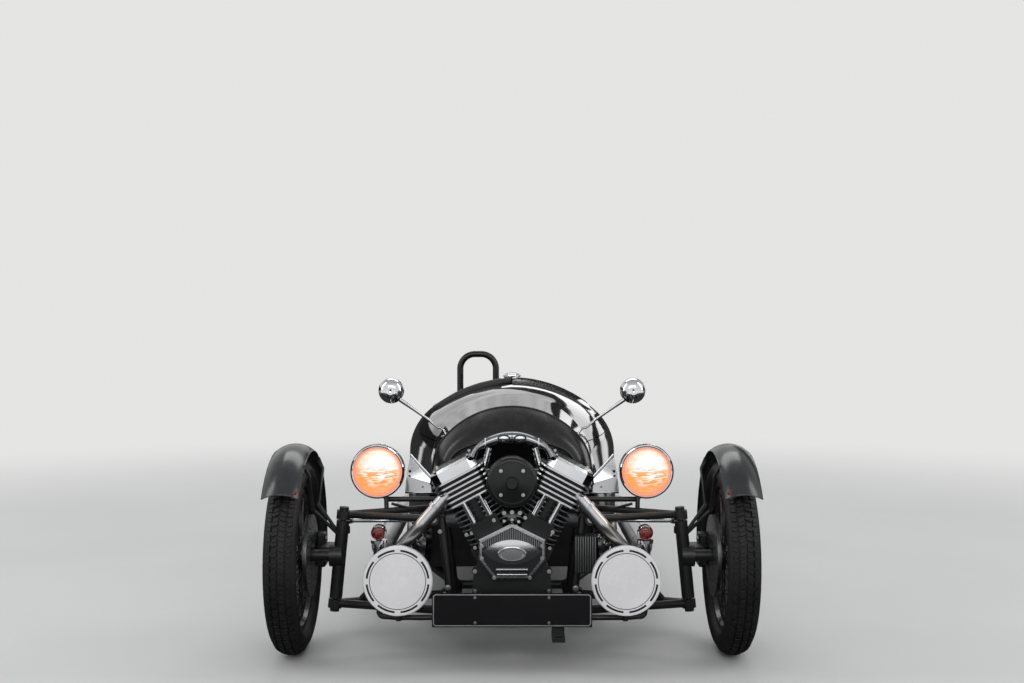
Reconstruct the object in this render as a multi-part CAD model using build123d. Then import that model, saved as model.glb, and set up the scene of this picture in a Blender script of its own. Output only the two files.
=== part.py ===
from build123d import *
import math
import os

os.makedirs("parts", exist_ok=True)

# Millimetres. Drawn from the ground point under the front axle, nose towards -Y, then moved so that
# the middle of the car's box stands at the origin.
TRACK = 1500
WHEELBASE = 2390
FRONT_TYRE_R = 335
REAR_TYRE_R = 311
TAIL_END = WHEELBASE + 500
MOVE_Y = (FRONT_TYRE_R - TAIL_END) / 2

RUN_FIT = 0.06
WALL = 18
PANEL_GAP = 3
SEAT_GAP = 0.3
SKIN = 3


def save(name, shape):
    solids = [Pos(0, MOVE_Y, 0) * s for s in shape.solids()]
    export_step(solids[0] if len(solids) == 1 else Compound(children=solids), "parts/" + name + ".step")


def one(parts):
    whole = parts[0]
    if len(parts) > 1:
        whole = whole + parts[1:]
    return whole


def apart(parts):
    return Compound(children=[s for p in parts for s in p.solids()])


def other_side(shape):
    return mirror(shape, about=Plane.YZ)


def both_sides(shape):
    return apart([shape, other_side(shape)])


def block(middle, size, turn=(0, 0, 0), radius=0):
    body = Box(*size)
    if radius:
        body = fillet(body.edges(), radius)
    return Pos(*middle) * Rot(*turn) * body


def rod(start, end, radius, bore=0):
    a, b = Vector(*start), Vector(*end)
    place = Plane(origin=a, z_dir=b - a)
    length = (b - a).length
    body = Solid.make_cylinder(radius, length, place)
    if bore:
        body = body - Solid.make_cylinder(bore, length, place)
    return body


def cone(start, end, start_r, end_r):
    a, b = Vector(*start), Vector(*end)
    return Solid.make_cone(start_r, end_r, (b - a).length, Plane(origin=a, z_dir=b - a))


def bent_path(points, bend):
    corners = [Vector(*p) for p in points]
    edges, last = [], corners[0]
    for before, corner, after in zip(corners, corners[1:], corners[2:]):
        way_in, way_out = (corner - before).normalized(), (after - corner).normalized()
        half = math.radians(way_in.get_angle(way_out)) / 2
        reach = bend * math.tan(half)
        first, final = corner - way_in * reach, corner + way_out * reach
        inward = (way_out - way_in).normalized()
        middle = corner + inward * (bend / math.cos(half) - bend)
        edges += [Edge.make_line(last, first), Edge.make_three_point_arc(first, middle, final)]
        last = final
    edges.append(Edge.make_line(last, corners[-1]))
    return Wire(edges)


def bent_rod(points, radius, bend, bore=0):
    path = bent_path(points, bend)
    start, ahead = Vector(*points[0]), Vector(*points[1])
    place = Plane(origin=start, z_dir=ahead - start)
    body = sweep(place * Circle(radius), path)
    if bore:
        body = body - sweep(place * Circle(bore), path)
    return body


def turned(outline, middle, angle=360, start=0):
    # outline: corners (along the axle, out from it); turned about a line along X through middle
    points = [(x, 0, r) for x, r in outline]
    face = make_face(Polyline(*points, close=True))
    body = revolve(face, Axis.X, angle)
    return Pos(*middle) * Rot(start, 0, 0) * body


def lathed(outline, middle, way="y"):
    # outline: corners or arcs' ends (out from the axis, along it); a row of three more numbers is an arc through them
    edges = []
    for a, b in zip(outline, outline[1:] + outline[:1]):
        start, end = (a[-2], 0, a[-1]), (b[-2], 0, b[-1])
        if len(b) == 4:
            edges.append(Edge.make_three_point_arc(start, (b[0], 0, b[1]), end))
        else:
            edges.append(Edge.make_line(start, end))
    body = revolve(make_face(Wire(edges)), Axis.Z, 360)
    return Pos(*middle) * (Rot(-90, 0, 0) if way == "y" else Rot(0, 0, 0)) * body


# Body shell: sections of lines and arcs
# columns: y, sill half width, sill z, side half width, shoulder z, crown z, corner radius
NOSE = [
    (108, 244, 562, 232, 604, 730, 100),
    (124, 264, 560, 254, 608, 766, 122),
    (160, 281, 557, 272, 609, 804, 152),
    (205, 292, 555, 285, 606, 834, 186),
    (430, 326, 548, 302, 618, 868, 178),
]
BODY = [
    (430, 330, 232, 302, 618, 868, 178),
    (850, 436, 215, 402, 602, 880, 205),
    (WHEELBASE - 1140, 452, 215, 450, 570, 877, 222),
    (WHEELBASE - 640, 432, 215, 434, 565, 862, 215),
    (WHEELBASE - 140, 328, 290, 332, 525, 782, 172),
    (WHEELBASE + 310, 205, 372, 205, 478, 655, 115),
]
TAIL = [
    (WHEELBASE + 310, 205, 372, 205, 478, 655, 115),
    (WHEELBASE + 410, 152, 388, 152, 472, 612, 84),
    (WHEELBASE + 472, 92, 408, 92, 482, 566, 52),
    (TAIL_END, 30, 440, 32, 470, 500, 26),
]


def section(row, grow, drop):
    y, sill_half, sill_z, side_half, shoulder_z, crown_z, corner = row
    half, corner, top = side_half + grow, corner + grow, crown_z + grow
    foot = (sill_half + grow, y, sill_z - drop)
    cx, cz = half - corner, shoulder_z
    rise = top - cz
    crown_r = (cx * cx + rise * rise - corner * corner) / (2 * (rise - corner))
    px, pz = foot[0] - cx, foot[2] - cz
    low = math.atan2(pz, px) + math.acos(corner / math.hypot(px, pz))
    high = math.atan2(cz - (top - crown_r), cx)
    on_arc = [(cx + corner * math.cos(a), y, cz + corner * math.sin(a)) for a in (low, (low + high) / 2, high)]
    flip = [(-p[0], p[1], p[2]) for p in on_arc]
    other_foot = (-foot[0], foot[1], foot[2])
    return Wire([
        Edge.make_line(foot, on_arc[0]),
        Edge.make_three_point_arc(*on_arc),
        Edge.make_three_point_arc(on_arc[2], (0, y, top), flip[2]),
        Edge.make_three_point_arc(flip[2], flip[1], flip[0]),
        Edge.make_line(flip[0], other_foot),
        Edge.make_line(other_foot, foot),
    ])


def hull(grow, drop=0, rows=BODY):
    return Solid.make_loft([section(row, grow, drop) for row in rows])


def slab(y0, y1, z0, z1, half=600):
    return block((0, (y0 + y1) / 2, (z0 + z1) / 2), (2 * half, y1 - y0, z1 - z0))


BEAD_Y = 205
NOSE_END = 430
COCKPIT_Y = (880, WHEELBASE - 740)
COCKPIT_HALF = 335
COCKPIT_CORNER = 130
SCUTTLE_Z = 690
SCUTTLE_END = 860
DECK_START = WHEELBASE - 680
DECK_Z = 640
TAIL_START = WHEELBASE - 140
shell = hull(0) - hull(-WALL, 60)
cowl_form, bonnet_form = hull(0, 0, NOSE[:4]), hull(0, 0, NOSE[3:])
cockpit_y = sum(COCKPIT_Y) / 2
cockpit_length = COCKPIT_Y[1] - COCKPIT_Y[0]
cockpit = Pos(0, cockpit_y, 700) * extrude(RectangleRounded(2 * COCKPIT_HALF, cockpit_length, COCKPIT_CORNER), 400)

save("nose_cowl", cowl_form - hull(-WALL, 60, [NOSE[0], NOSE[3]]))
bonnet = bonnet_form - hull(-WALL, 60, NOSE[3:]) - slab(0, BEAD_Y + PANEL_GAP, 400, 1000)
scuttle = bonnet + (shell & slab(NOSE_END, SCUTTLE_END, SCUTTLE_Z, 1000))
save("scuttle", scuttle)
save("rear_deck", shell & slab(DECK_START, TAIL_START, DECK_Z, 1000))
sides = (shell & slab(NOSE_END + PANEL_GAP, TAIL_START - PANEL_GAP, 150, 1000)) - cockpit
sides = sides - slab(NOSE_END, SCUTTLE_END + PANEL_GAP, SCUTTLE_Z - PANEL_GAP, 1000)
sides = sides - slab(DECK_START - PANEL_GAP, TAIL_START, DECK_Z - PANEL_GAP, 1000)
left = sides & Pos(350 + PANEL_GAP / 2, 1300, 600) * Box(700, 2400, 1000)
save("side_panel_l", left)
save("side_panel_r", other_side(left))
tail_cap = hull(0, 0, TAIL)
tail_core = hull(-WALL, 60, [TAIL[0], TAIL[1]])
tail = (shell & slab(TAIL_START, TAIL[0][0], 150, 1000)) + (tail_cap - tail_core)
save("tail", tail)

# Cockpit: padded rim on the driver's side, hard cover on the other
RIM_WIDE, RIM_HIGH = 26, 26
rim_band = cockpit - Pos(0, cockpit_y, 600) * extrude(
    RectangleRounded(2 * (COCKPIT_HALF - RIM_WIDE), cockpit_length - 2 * RIM_WIDE, COCKPIT_CORNER - RIM_WIDE), 600)
rim_skin = hull(RIM_HIGH) - hull(-WALL - 6, 60)
driver_half = Pos(-350, cockpit_y, 800) * Box(700, cockpit_length + 130, 700)
save("cockpit_rim", rim_band & rim_skin & driver_half)
cover = (hull(5) - hull(-10, 60)) & cockpit & Pos(350, cockpit_y, 800) * Box(700 - 4, cockpit_length + 130, 700)
save("passenger_cover", cover)
FLOOR_Z = 210
FLOOR_END = WHEELBASE - 560
TUNNEL_HALF = 95
TUNNEL_TOP = 385
lining = hull(-WALL - SEAT_GAP, 60)
floor = lining & slab(NOSE_END + 12, FLOOR_END, FLOOR_Z, FLOOR_Z + 10)
tunnel = slab(NOSE_END + 12, FLOOR_END, FLOOR_Z, TUNNEL_TOP, TUNNEL_HALF)
tunnel_bore = slab(0, 2500, 0, TUNNEL_TOP - 8, TUNNEL_HALF - 8)
bulkhead = lining & slab(NOSE_END + 12, NOSE_END + 18, FLOOR_Z, 1000)
knob = lathed([(0, 0), (16, 16, 0, 32)], (-22, 1082, 505), "z")
lever = one([rod((0, 1120, TUNNEL_TOP - 4), (-22, 1082, 515), 7), knob])
save("floor_pan", one([floor, bulkhead, tunnel]) - tunnel_bore + lever)

# Steering wheel and column, turned about the column's line
WHEEL_HUB = Vector(-168, COCKPIT_Y[0] + 250, 690)
COLUMN_TILT = math.radians(20)
column_way = Vector(0, -math.cos(COLUMN_TILT), -math.sin(COLUMN_TILT))
RING_R, RING_TUBE_R, COLUMN_R = 136, 11, 11
ring_plane = Plane(origin=WHEEL_HUB, z_dir=column_way)
ring = Solid.make_torus(RING_R, RING_TUBE_R, ring_plane)
boss = Solid.make_cylinder(34, 30, Plane(origin=WHEEL_HUB, z_dir=column_way))
arms = []
for turn in (90, 210, 330):
    arm = Pos(RING_R / 2, 0, 6) * Box(RING_R, 26, 5)
    arms.append(ring_plane * Rot(0, 0, turn) * arm)
COLUMN_LENGTH = 330
column = rod(WHEEL_HUB, WHEEL_HUB + column_way * COLUMN_LENGTH, COLUMN_R)
save("steering_wheel", one([ring, boss, column] + arms))
jacket_start = WHEEL_HUB + column_way * 120
jacket = rod(jacket_start, WHEEL_HUB + column_way * (COLUMN_LENGTH + 20), 20, COLUMN_R + RUN_FIT)
dash = lining & slab(SCUTTLE_END + 4, SCUTTLE_END + 16, 600, 1000)
dash = dash - rod(WHEEL_HUB, WHEEL_HUB + column_way * (COLUMN_LENGTH + 40), COLUMN_R + RUN_FIT)
save("dashboard", dash + jacket)

# Seat bench: closed cushions
seat = block((0, COCKPIT_Y[1] - 230, 320), (2 * 380, 440, 110), (8, 0, 0), 30) \
    - slab(1000, 1900, 0, TUNNEL_TOP + 6, TUNNEL_HALF + 6)
back = block((0, COCKPIT_Y[1] + 10, 580), (2 * 400, 100, 430), (-14, 0, 0), 35) & hull(-WALL - 8, 60)
back = back - slab(1000, 1900, 0, TUNNEL_TOP + 6, TUNNEL_HALF + 6)
save("seat_cushions", apart([seat, back]))

# Roll hoop, filler cap
HOOP_X, HOOP_HALF, HOOP_TOP, HOOP_TUBE_R = -162, 85, 981, 15
HOOP_Y = DECK_START + 5
HOOP_FOOT = 770
hoop = bent_rod([(HOOP_X - HOOP_HALF, HOOP_Y, HOOP_FOOT), (HOOP_X - HOOP_HALF, HOOP_Y, HOOP_TOP),
                 (HOOP_X + HOOP_HALF, HOOP_Y, HOOP_TOP), (HOOP_X + HOOP_HALF, HOOP_Y, HOOP_FOOT)], HOOP_TUBE_R, 70)
save("roll_hoop", hoop - hull(0))
CAP_TOP = 886
cap = rod((0, DECK_START + 90, CAP_TOP - 60), (0, DECK_START + 90, CAP_TOP), 38)
save("filler_cap", cap - hull(0))

# Chassis: ladder of tubes, front frame for the suspension, rear hoop for the dampers
RAIL_R, RAIL_Z, RAIL_X, RAIL_END = 19, 190, 385, WHEELBASE - 450
FRONT_RAIL_X, FRONT_RAIL_Z, FRONT_Y = 200, 165, -236
ARM_Y = 130
TOP_PIVOT, LOW_PIVOT = (262, 482), (236, 175)
TOWER_X, TOWER_Z, TOWER_R = 236, 488, 14
rail = bent_rod([(FRONT_RAIL_X, FRONT_Y, FRONT_RAIL_Z), (FRONT_RAIL_X, 330, FRONT_RAIL_Z),
                 (RAIL_X, 800, RAIL_Z), (RAIL_X, RAIL_END + 20, RAIL_Z)], RAIL_R, 120)
rungs = []
# columns: y, half width, z
for y, half, z in [(FRONT_Y, FRONT_RAIL_X, FRONT_RAIL_Z), (330, FRONT_RAIL_X, FRONT_RAIL_Z),
                   (800, RAIL_X, RAIL_Z), (1400, RAIL_X, RAIL_Z), (RAIL_END, RAIL_X, RAIL_Z)]:
    rungs.append(rod((-half, y, z), (half, y, z), 16))
EYE_X, EYE_Y, EYE_Z, TOW_R = 150, -292, 118, 11
tow_lug = one([block((EYE_X, EYE_Y + 22, EYE_Z), (42, 86, 12)), block((EYE_X, FRONT_Y, (EYE_Z + FRONT_RAIL_Z) / 2), (42, 14, 50))])
tow_lug = tow_lug - rod((EYE_X, EYE_Y, EYE_Z - 20), (EYE_X, EYE_Y, EYE_Z + 20), TOW_R)
pads = [block((side * RAIL_X, 1000, 166), (64, 64, 14)) for side in (-1, 1)]
plate_lugs = [block((side * 120, -250, 165), (30, 21, 26)) for side in (-1, 1)]
hangers = [rod((side * RAIL_X, y, RAIL_Z), (side * 512, y, 214), 8) for side in (-1, 1) for y in (800, WHEELBASE - 700)]
gearbox_foot = rod((0, 330, FRONT_RAIL_Z), (0, 330, 220), 14)
towers = [rod((FRONT_RAIL_X, y, FRONT_RAIL_Z), (TOWER_X, y, TOWER_Z), TOWER_R) for y in (-ARM_Y, ARM_Y)]
towers.append(rod((TOWER_X, -ARM_Y, TOWER_Z), (TOWER_X, ARM_Y, TOWER_Z), TOWER_R))
front_half = one(towers)
rail_set = one([rail, other_side(rail)] + rungs)
top_tube = rod((-TOWER_X, ARM_Y, TOWER_Z), (TOWER_X, ARM_Y, TOWER_Z), TOWER_R)
front_frame = one([front_half, other_side(front_half), top_tube]) - rail_set
HOOP_REAR_Y = WHEELBASE - 280
rear_hoop = bent_rod([(335, RAIL_END, RAIL_Z), (280, HOOP_REAR_Y - 40, 300), (225, HOOP_REAR_Y, 600),
                      (0, HOOP_REAR_Y, 630)], 16, 60)
rear_hoop = one([rear_hoop, other_side(rear_hoop)])
frame_solid = one([rail_set, front_frame])

# Kingpins: upper and lower ball joints lie on one line, top leaning inward
wheel_x = TRACK / 2
KING_TOP, KING_LOW = Vector(wheel_x - 170, 0, 476), Vector(wheel_x - 140, 0, 170)
king_way = (KING_TOP - KING_LOW).normalized()
PIN_R, BOSS_R, BOSS_HALF = 10, 24, 15


def wishbone(ball, pivot, tube_r):  # an A of two tubes from the ball joint's boss to two eyes on the frame
    arms = [rod((ball.X, 0, ball.Z), (pivot[0], y, pivot[1]), tube_r) for y in (-ARM_Y, ARM_Y)]
    eyes = [rod((pivot[0], y - 22, pivot[1]), (pivot[0], y + 22, pivot[1]), 20) for y in (-ARM_Y, ARM_Y)]
    boss = rod(ball - king_way * BOSS_HALF, ball + king_way * BOSS_HALF, BOSS_R)
    body = one([boss] + arms + eyes)
    return body - rod(ball - king_way * 40, ball + king_way * 40, PIN_R + RUN_FIT)


top_arm = wishbone(KING_TOP, TOP_PIVOT, 12) - frame_solid
low_arm = wishbone(KING_LOW, LOW_PIVOT, 14) - frame_solid
save("wishbones", both_sides(apart([top_arm, low_arm])))

# Front knuckle: beam, pins, spindle, steering arm, brake caliper
SPINDLE_R = 20
hub_z = FRONT_TYRE_R
spindle_x = KING_TOP.X + (KING_TOP.Z - hub_z) * (KING_LOW.X - KING_TOP.X) / (KING_TOP.Z - KING_LOW.Z)
ARM_REACH = 82
rod_end = Vector(KING_TOP.X + 3.3, ARM_REACH, 442)
beam_low, beam_top = KING_LOW + king_way * (BOSS_HALF + 5), KING_TOP - king_way * (BOSS_HALF + 5)
beam = rod(beam_low, beam_top, 22)
pins = rod(KING_LOW - king_way * (BOSS_HALF + 6), KING_TOP + king_way * (BOSS_HALF + 6), PIN_R)
caps = [rod(KING_TOP + king_way * (BOSS_HALF + 1), KING_TOP + king_way * (BOSS_HALF + 12), 16),
        rod(KING_LOW - king_way * (BOSS_HALF + 12), KING_LOW - king_way * (BOSS_HALF + 1), 16)]
DISC_R, DISC_X, DISC_HALF = 140, wheel_x - 56, 6
spindle = rod((spindle_x, 0, hub_z), (wheel_x + 30, 0, hub_z), SPINDLE_R)
flange = rod((spindle_x - 10, 0, hub_z), (spindle_x + 34, 0, hub_z), 38)
EYE_BORE = 17
steer_arm = one([rod((rod_end.X, 0, rod_end.Z - 32), (rod_end.X, rod_end.Y, rod_end.Z - 32), 10),
                 rod((rod_end.X, rod_end.Y, rod_end.Z - 44), (rod_end.X, rod_end.Y, rod_end.Z - 20), 15)])
rod_pin = rod((rod_end.X, rod_end.Y, rod_end.Z - 21), (rod_end.X, rod_end.Y, rod_end.Z + 16), 7)
caliper_y = 118
caliper = block((DISC_X - 5, caliper_y, hub_z), (64, 56, 120), (0, 0, 0), 8)
caliper = caliper - rod((DISC_X - DISC_HALF - 6, 0, hub_z), (DISC_X + DISC_HALF + 6, 0, hub_z), DISC_R + 6)
caliper_lug = block((DISC_X - 62, 70, hub_z), (60, 110, 50))
knuckle = one([beam, pins, spindle, flange, steer_arm, rod_pin, caliper_lug, caliper] + caps)
save("front_knuckle_l", knuckle)
save("front_knuckle_r", other_side(knuckle))

# Front mudguard with its stays
GUARD_R, GUARD_HALF, GUARD_DROP = 385, 62, 26
guard_face = make_face([
    ThreePointArc((-GUARD_HALF, 0, GUARD_R - GUARD_DROP), (0, 0, GUARD_R), (GUARD_HALF, 0, GUARD_R - GUARD_DROP)),
    Line((GUARD_HALF, 0, GUARD_R - GUARD_DROP), (GUARD_HALF - SKIN, 0, GUARD_R - GUARD_DROP)),
    ThreePointArc((GUARD_HALF - SKIN, 0, GUARD_R - GUARD_DROP), (0, 0, GUARD_R - SKIN),
                  (SKIN - GUARD_HALF, 0, GUARD_R - GUARD_DROP)),
    Line((SKIN - GUARD_HALF, 0, GUARD_R - GUARD_DROP), (-GUARD_HALF, 0, GUARD_R - GUARD_DROP)),
])
GUARD_AHEAD, GUARD_BEHIND = 50, 92
guard = revolve(guard_face, Axis.X, GUARD_AHEAD + GUARD_BEHIND)
guard = Pos(wheel_x, 0, hub_z) * Rot(-GUARD_BEHIND, 0, 0) * guard
stay_x = wheel_x - GUARD_HALF - 12
stays = []
for turn in (-26, 30):
    sine, cosine = math.sin(math.radians(turn)), math.cos(math.radians(turn))
    near, far = GUARD_R - GUARD_DROP - 34, GUARD_R - GUARD_DROP + 6
    stays.append(bent_rod([(KING_TOP.X + 10, 8 * sine, 400), (stay_x, near * 0.4 * sine, 500),
                           (stay_x, near * sine, hub_z + near * cosine),
                           (stay_x + 18, far * sine, hub_z + far * cosine)], 6, 14))
mudguard = one([guard] + stays) - knuckle
save("front_mudguard_l", mudguard)
save("front_mudguard_r", other_side(mudguard))

# Front wheel: tyre, wire wheel on its hub, brake disc
RIM_R, RIM_HALF, FLANGE_R = 241, 28, 254
BEAD = 15


def tyre(radius, half, rim_r, rim_half, tread_half, drop):
    lip = rim_r + BEAD
    wide = (lip + radius) / 2 - 4
    wall_in = [(rim_half - 10, 0, lip + 4), (half - 10, 0, wide), (tread_half - 8, 0, radius - drop - 12)]
    wall_out = [(tread_half, 0, radius - drop), (half, 0, wide), (rim_half, 0, lip)]
    flip_in, flip_out = [[(-x, 0, r) for x, _, r in row] for row in (wall_in, wall_out)]
    face = make_face([
        ThreePointArc(flip_out[2], flip_out[1], flip_out[0]),
        ThreePointArc(flip_out[0], (0, 0, radius), wall_out[0]),
        ThreePointArc(*wall_out),
        Polyline(wall_out[2], (rim_half, 0, rim_r), (rim_half - 10, 0, rim_r), wall_in[0]),
        ThreePointArc(*wall_in),
        ThreePointArc(wall_in[2], (0, 0, radius - 14), flip_in[2]),
        ThreePointArc(flip_in[2], flip_in[1], flip_in[0]),
        Polyline(flip_in[0], (10 - rim_half, 0, rim_r), (-rim_half, 0, rim_r), flip_out[2]),
    ])
    return revolve(face, Axis.X, 360)


front_tyre = Pos(wheel_x, 0, hub_z) * tyre(FRONT_TYRE_R, 54, RIM_R, RIM_HALF, 42, 16)
save("front_tyre_l", front_tyre)
save("front_tyre_r", other_side(front_tyre))


def rim(rim_r, rim_half, flange_r, depth):
    return [(-rim_half - 4, flange_r), (-rim_half, flange_r), (-rim_half, rim_r), (-rim_half + 12, rim_r),
            (-rim_half + 18, rim_r - depth), (rim_half - 18, rim_r - depth), (rim_half - 12, rim_r),
            (rim_half, rim_r), (rim_half, flange_r), (rim_half + 4, flange_r), (rim_half + 4, rim_r - 4),
            (rim_half - 16, rim_r - depth - 5), (16 - rim_half, rim_r - depth - 5), (-rim_half - 4, rim_r - 4)]


HUB_OUT = 88
hub_outline = [(-44, SPINDLE_R + RUN_FIT), (34, SPINDLE_R + RUN_FIT), (34, 0), (HUB_OUT, 0), (HUB_OUT, 26),
               (HUB_OUT - 6, 32), (66, 32), (66, 42), (60, 42), (60, 31), (-18, 34), (-18, 56), (-24, 56),
               (-24, 52), (-44, 52)]
wheel_parts = [turned(rim(RIM_R, RIM_HALF, FLANGE_R, 12), (0, 0, 0)), turned(hub_outline, (0, 0, 0))]
SPOKES = 20
# columns: hub x, hub radius, rim x, lean in degrees
for hub_x, hub_r, rim_x, lean in [(63, 37, 8, 28), (-21, 50, -8, 28)]:
    for i in range(SPOKES):
        at = 360 / SPOKES * (i + (0.5 if hub_x < 0 else 0))
        swing = lean if i % 2 else -lean
        a, b = math.radians(at), math.radians(at + swing / 2)
        foot = Vector(hub_x, hub_r * math.sin(a), hub_r * math.cos(a))
        tip = Vector(rim_x, (RIM_R - 14) * math.sin(b), (RIM_R - 14) * math.cos(b))
        length = (tip - foot).length
        wheel_parts.append(Plane(origin=foot, z_dir=tip - foot) * Pos(0, 0, length / 2) * Box(4, 4, length))
wire_wheel = Pos(wheel_x, 0, hub_z) * one(wheel_parts)
save("front_wheel_l", wire_wheel)
save("front_wheel_r", other_side(wire_wheel))
disc_mid = DISC_X - wheel_x
disc_outline = [(disc_mid - DISC_HALF, 60), (disc_mid - DISC_HALF, DISC_R), (disc_mid + DISC_HALF, DISC_R),
                (disc_mid + DISC_HALF, 60), (-34, 60), (-34, 52), (disc_mid - DISC_HALF, 52)]
disc = turned(disc_outline, (wheel_x, 0, hub_z))
save("front_disc_l", disc)
save("front_disc_r", other_side(disc))

# Steering rack: bar and track rods slide in the housing; the outer pivots are left open
RACK_Z, RACK_Y = 442, 88
housing = rod((-250, RACK_Y, RACK_Z), (250, RACK_Y, RACK_Z), 24, 12 + RUN_FIT)
save("rack_housing", housing)
rack = rod((-322, RACK_Y, RACK_Z), (322, RACK_Y, RACK_Z), 12)
eye = rod((rod_end.X, ARM_REACH, RACK_Z - 8), (rod_end.X, ARM_REACH, RACK_Z + 8), EYE_BORE + 9, EYE_BORE)
track_rod = one([rod((330, RACK_Y, RACK_Z - 16), (330, RACK_Y, RACK_Z + 16), 17),
                 rod((330, RACK_Y, RACK_Z), (rod_end.X - EYE_BORE - 4, ARM_REACH, RACK_Z), 7), eye])
save("steering_rack", one([rack, track_rod, other_side(track_rod)]))

# Engine: two finned cylinders in a vee across the car, crankshaft fore and aft
CRANK_Z, VEE = 290, 28
ENGINE_Y = -110


def on_cylinder(side):
    return Pos(0, ENGINE_Y, CRANK_Z) * Rot(0, side * VEE, 0)


CASE_FRONT, CASE_BACK, CASE_R = -215, 50, 118
case_drum = rod((0, CASE_FRONT, CRANK_Z), (0, CASE_BACK, CRANK_Z), CASE_R)
case_flange = rod((0, CASE_FRONT, CRANK_Z), (0, CASE_FRONT + 14, CRANK_Z), CASE_R + 10)
bosses = []
for i in range(12):
    turn = math.radians(i * 30 + 15)
    x, z = (CASE_R + 8) * math.cos(turn), CRANK_Z + (CASE_R + 8) * math.sin(turn)
    bosses.append(rod((x, CASE_FRONT - 4, z), (x, CASE_FRONT + 24, z), 10))
sump = block((0, -81, 200), (180, 260, 100), (0, 0, 0), 14)
necks = [on_cylinder(side) * Pos(0, 0, 90) * Box(150, 160, 120) for side in (-1, 1)]
tappets = [on_cylinder(side) * Pos(-side * 9, -90, 190) * Box(96, 36, 70) for side in (-1, 1)]
crankcase = one([case_drum, case_flange, sump] + bosses + necks + tappets)
mounts = [rod((side * FRONT_RAIL_X, y, FRONT_RAIL_Z), (side * 80, y, FRONT_RAIL_Z + 30), 11)
          for side in (-1, 1) for y in (-190, 20)]
BARREL_LOW, BARREL_TOP, HEAD_TOP = 150, 300, 388
BARREL_FINS, BARREL_FIN_R = 9, 79
HEAD_FINS, HEAD_FIN, HEAD_SIZE = 6, 5.5, 186
barrel = rod((0, 0, BARREL_LOW), (0, 0, BARREL_TOP), 58)
for i in range(BARREL_FINS):
    z = BARREL_LOW + 6 + i * (BARREL_TOP - BARREL_LOW - 14) / (BARREL_FINS - 1)
    barrel = barrel + rod((0, 0, z), (0, 0, z + 4), BARREL_FIN_R)
barrel = barrel - Pos(0, -100, 225) * Box(112, 56, 160)
save("cylinders", apart([on_cylinder(side) * barrel - crankcase for side in (-1, 1)]))
head = Pos(0, 0, (BARREL_TOP + HEAD_TOP) / 2) * Box(132, 140, HEAD_TOP - BARREL_TOP)
for i in range(HEAD_FINS):
    z = BARREL_TOP + i * (HEAD_TOP - BARREL_TOP - HEAD_FIN) / (HEAD_FINS - 1)
    head = head + Pos(0, 0, z) * extrude(RectangleRounded(HEAD_SIZE, HEAD_SIZE, 34), HEAD_FIN)
save("cylinder_heads", apart([on_cylinder(side) * head for side in (-1, 1)]))
ROCKER_CUT = 27
rocker = chamfer(Box(164, 178, 44).edges().filter_by(Axis.Z), ROCKER_CUT)
rocker = Pos(0, 0, HEAD_TOP + 22) * chamfer(rocker.faces().sort_by(Axis.Z)[-1].edges(), 9)
save("rocker_covers", apart([on_cylinder(side) * rocker for side in (-1, 1)]))
tubes = []
for side in (-1, 1):
    for v in (-21, 38):
        tubes.append(on_cylinder(side) * Pos(-side * v, -90, (225 + 300) / 2) * Cylinder(10, 75))
save("pushrod_tubes", apart(tubes))
CLEANER_Z, CLEANER_R = 622, 82
cleaner = lathed([(0, 0), (CLEANER_R, 0), (CLEANER_R, -44), (CLEANER_R - 4, -56, CLEANER_R - 16, -60), (22, -66),
                  (18, -74), (0, -74)], (0, -225, CLEANER_Z))
throat = rod((0, -226, CLEANER_Z), (0, ENGINE_Y, CLEANER_Z), 30)
manifold = rod((-100, ENGINE_Y, CLEANER_Z), (100, ENGINE_Y, CLEANER_Z), 26)
heads_solid = apart([on_cylinder(side) * head for side in (-1, 1)])
intake = one([throat, manifold])
for s in heads_solid.solids():
    intake = intake - s
save("air_cleaner", one([cleaner, intake]))
ARCH_Y = (-196, -160)
arch_face = make_face([ThreePointArc((-117, 0, 733), (0, 0, 777), (117, 0, 733)),
                       Polyline((117, 0, 733), (140, 0, 700), (118, 0, 690), (106, 0, 718)),
                       ThreePointArc((106, 0, 718), (0, 0, 740), (-106, 0, 718)),
                       Polyline((-106, 0, 718), (-118, 0, 690), (-140, 0, 700), (-117, 0, 733))])
arch = Pos(0, ARCH_Y[1], 0) * extrude(arch_face, ARCH_Y[1] - ARCH_Y[0], dir=(0, -1, 0))
for x in (-27, 27):
    arch = arch - Pos(x, ARCH_Y[0], 758) * Rot(90, 0, 0) * extrude(Ellipse(20, 9), 14, both=True)
for side in (-1, 1):
    arch = arch - on_cylinder(side) * rocker
save("arch_bracket", arch)
# columns: x, z of the plate's corners, then of the floor inside its rim
SHIELD = [(0, 485, 0, 473), (109, 431, 98, 424), (109, 367, 98, 370), (60, 303, 54, 313)]
corners = [(x, 0, z) for x, z, _, _ in SHIELD] + [(-x, 0, z) for x, z, _, _ in SHIELD[:0:-1]]
floor_corners = [(x, 0, z) for _, _, x, z in SHIELD] + [(-x, 0, z) for _, _, x, z in SHIELD[:0:-1]]
SHIELD_DEEP, LENS_Z, LENS_SWELL = 30, 391, 300
shield = Pos(0, CASE_FRONT - 4, 0) * extrude(make_face(Polyline(*corners, close=True)), SHIELD_DEEP, dir=(0, -1, 0))
shield = chamfer(shield.faces().sort_by(Axis.Y)[0].edges(), 4)
shield_front = CASE_FRONT - 4 - SHIELD_DEEP
shield = shield - Pos(0, shield_front, 0) * extrude(make_face(Polyline(*floor_corners, close=True)), 8, dir=(0, 1, 0))
lens_face = make_face([ThreePointArc((-95, 0, LENS_Z), (0, 0, LENS_Z + 42), (95, 0, LENS_Z)),
                       ThreePointArc((95, 0, LENS_Z), (0, 0, LENS_Z - 40), (-95, 0, LENS_Z))])
lens_pad = Pos(0, shield_front + 12, 0) * extrude(lens_face, 24, dir=(0, -1, 0))
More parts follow.
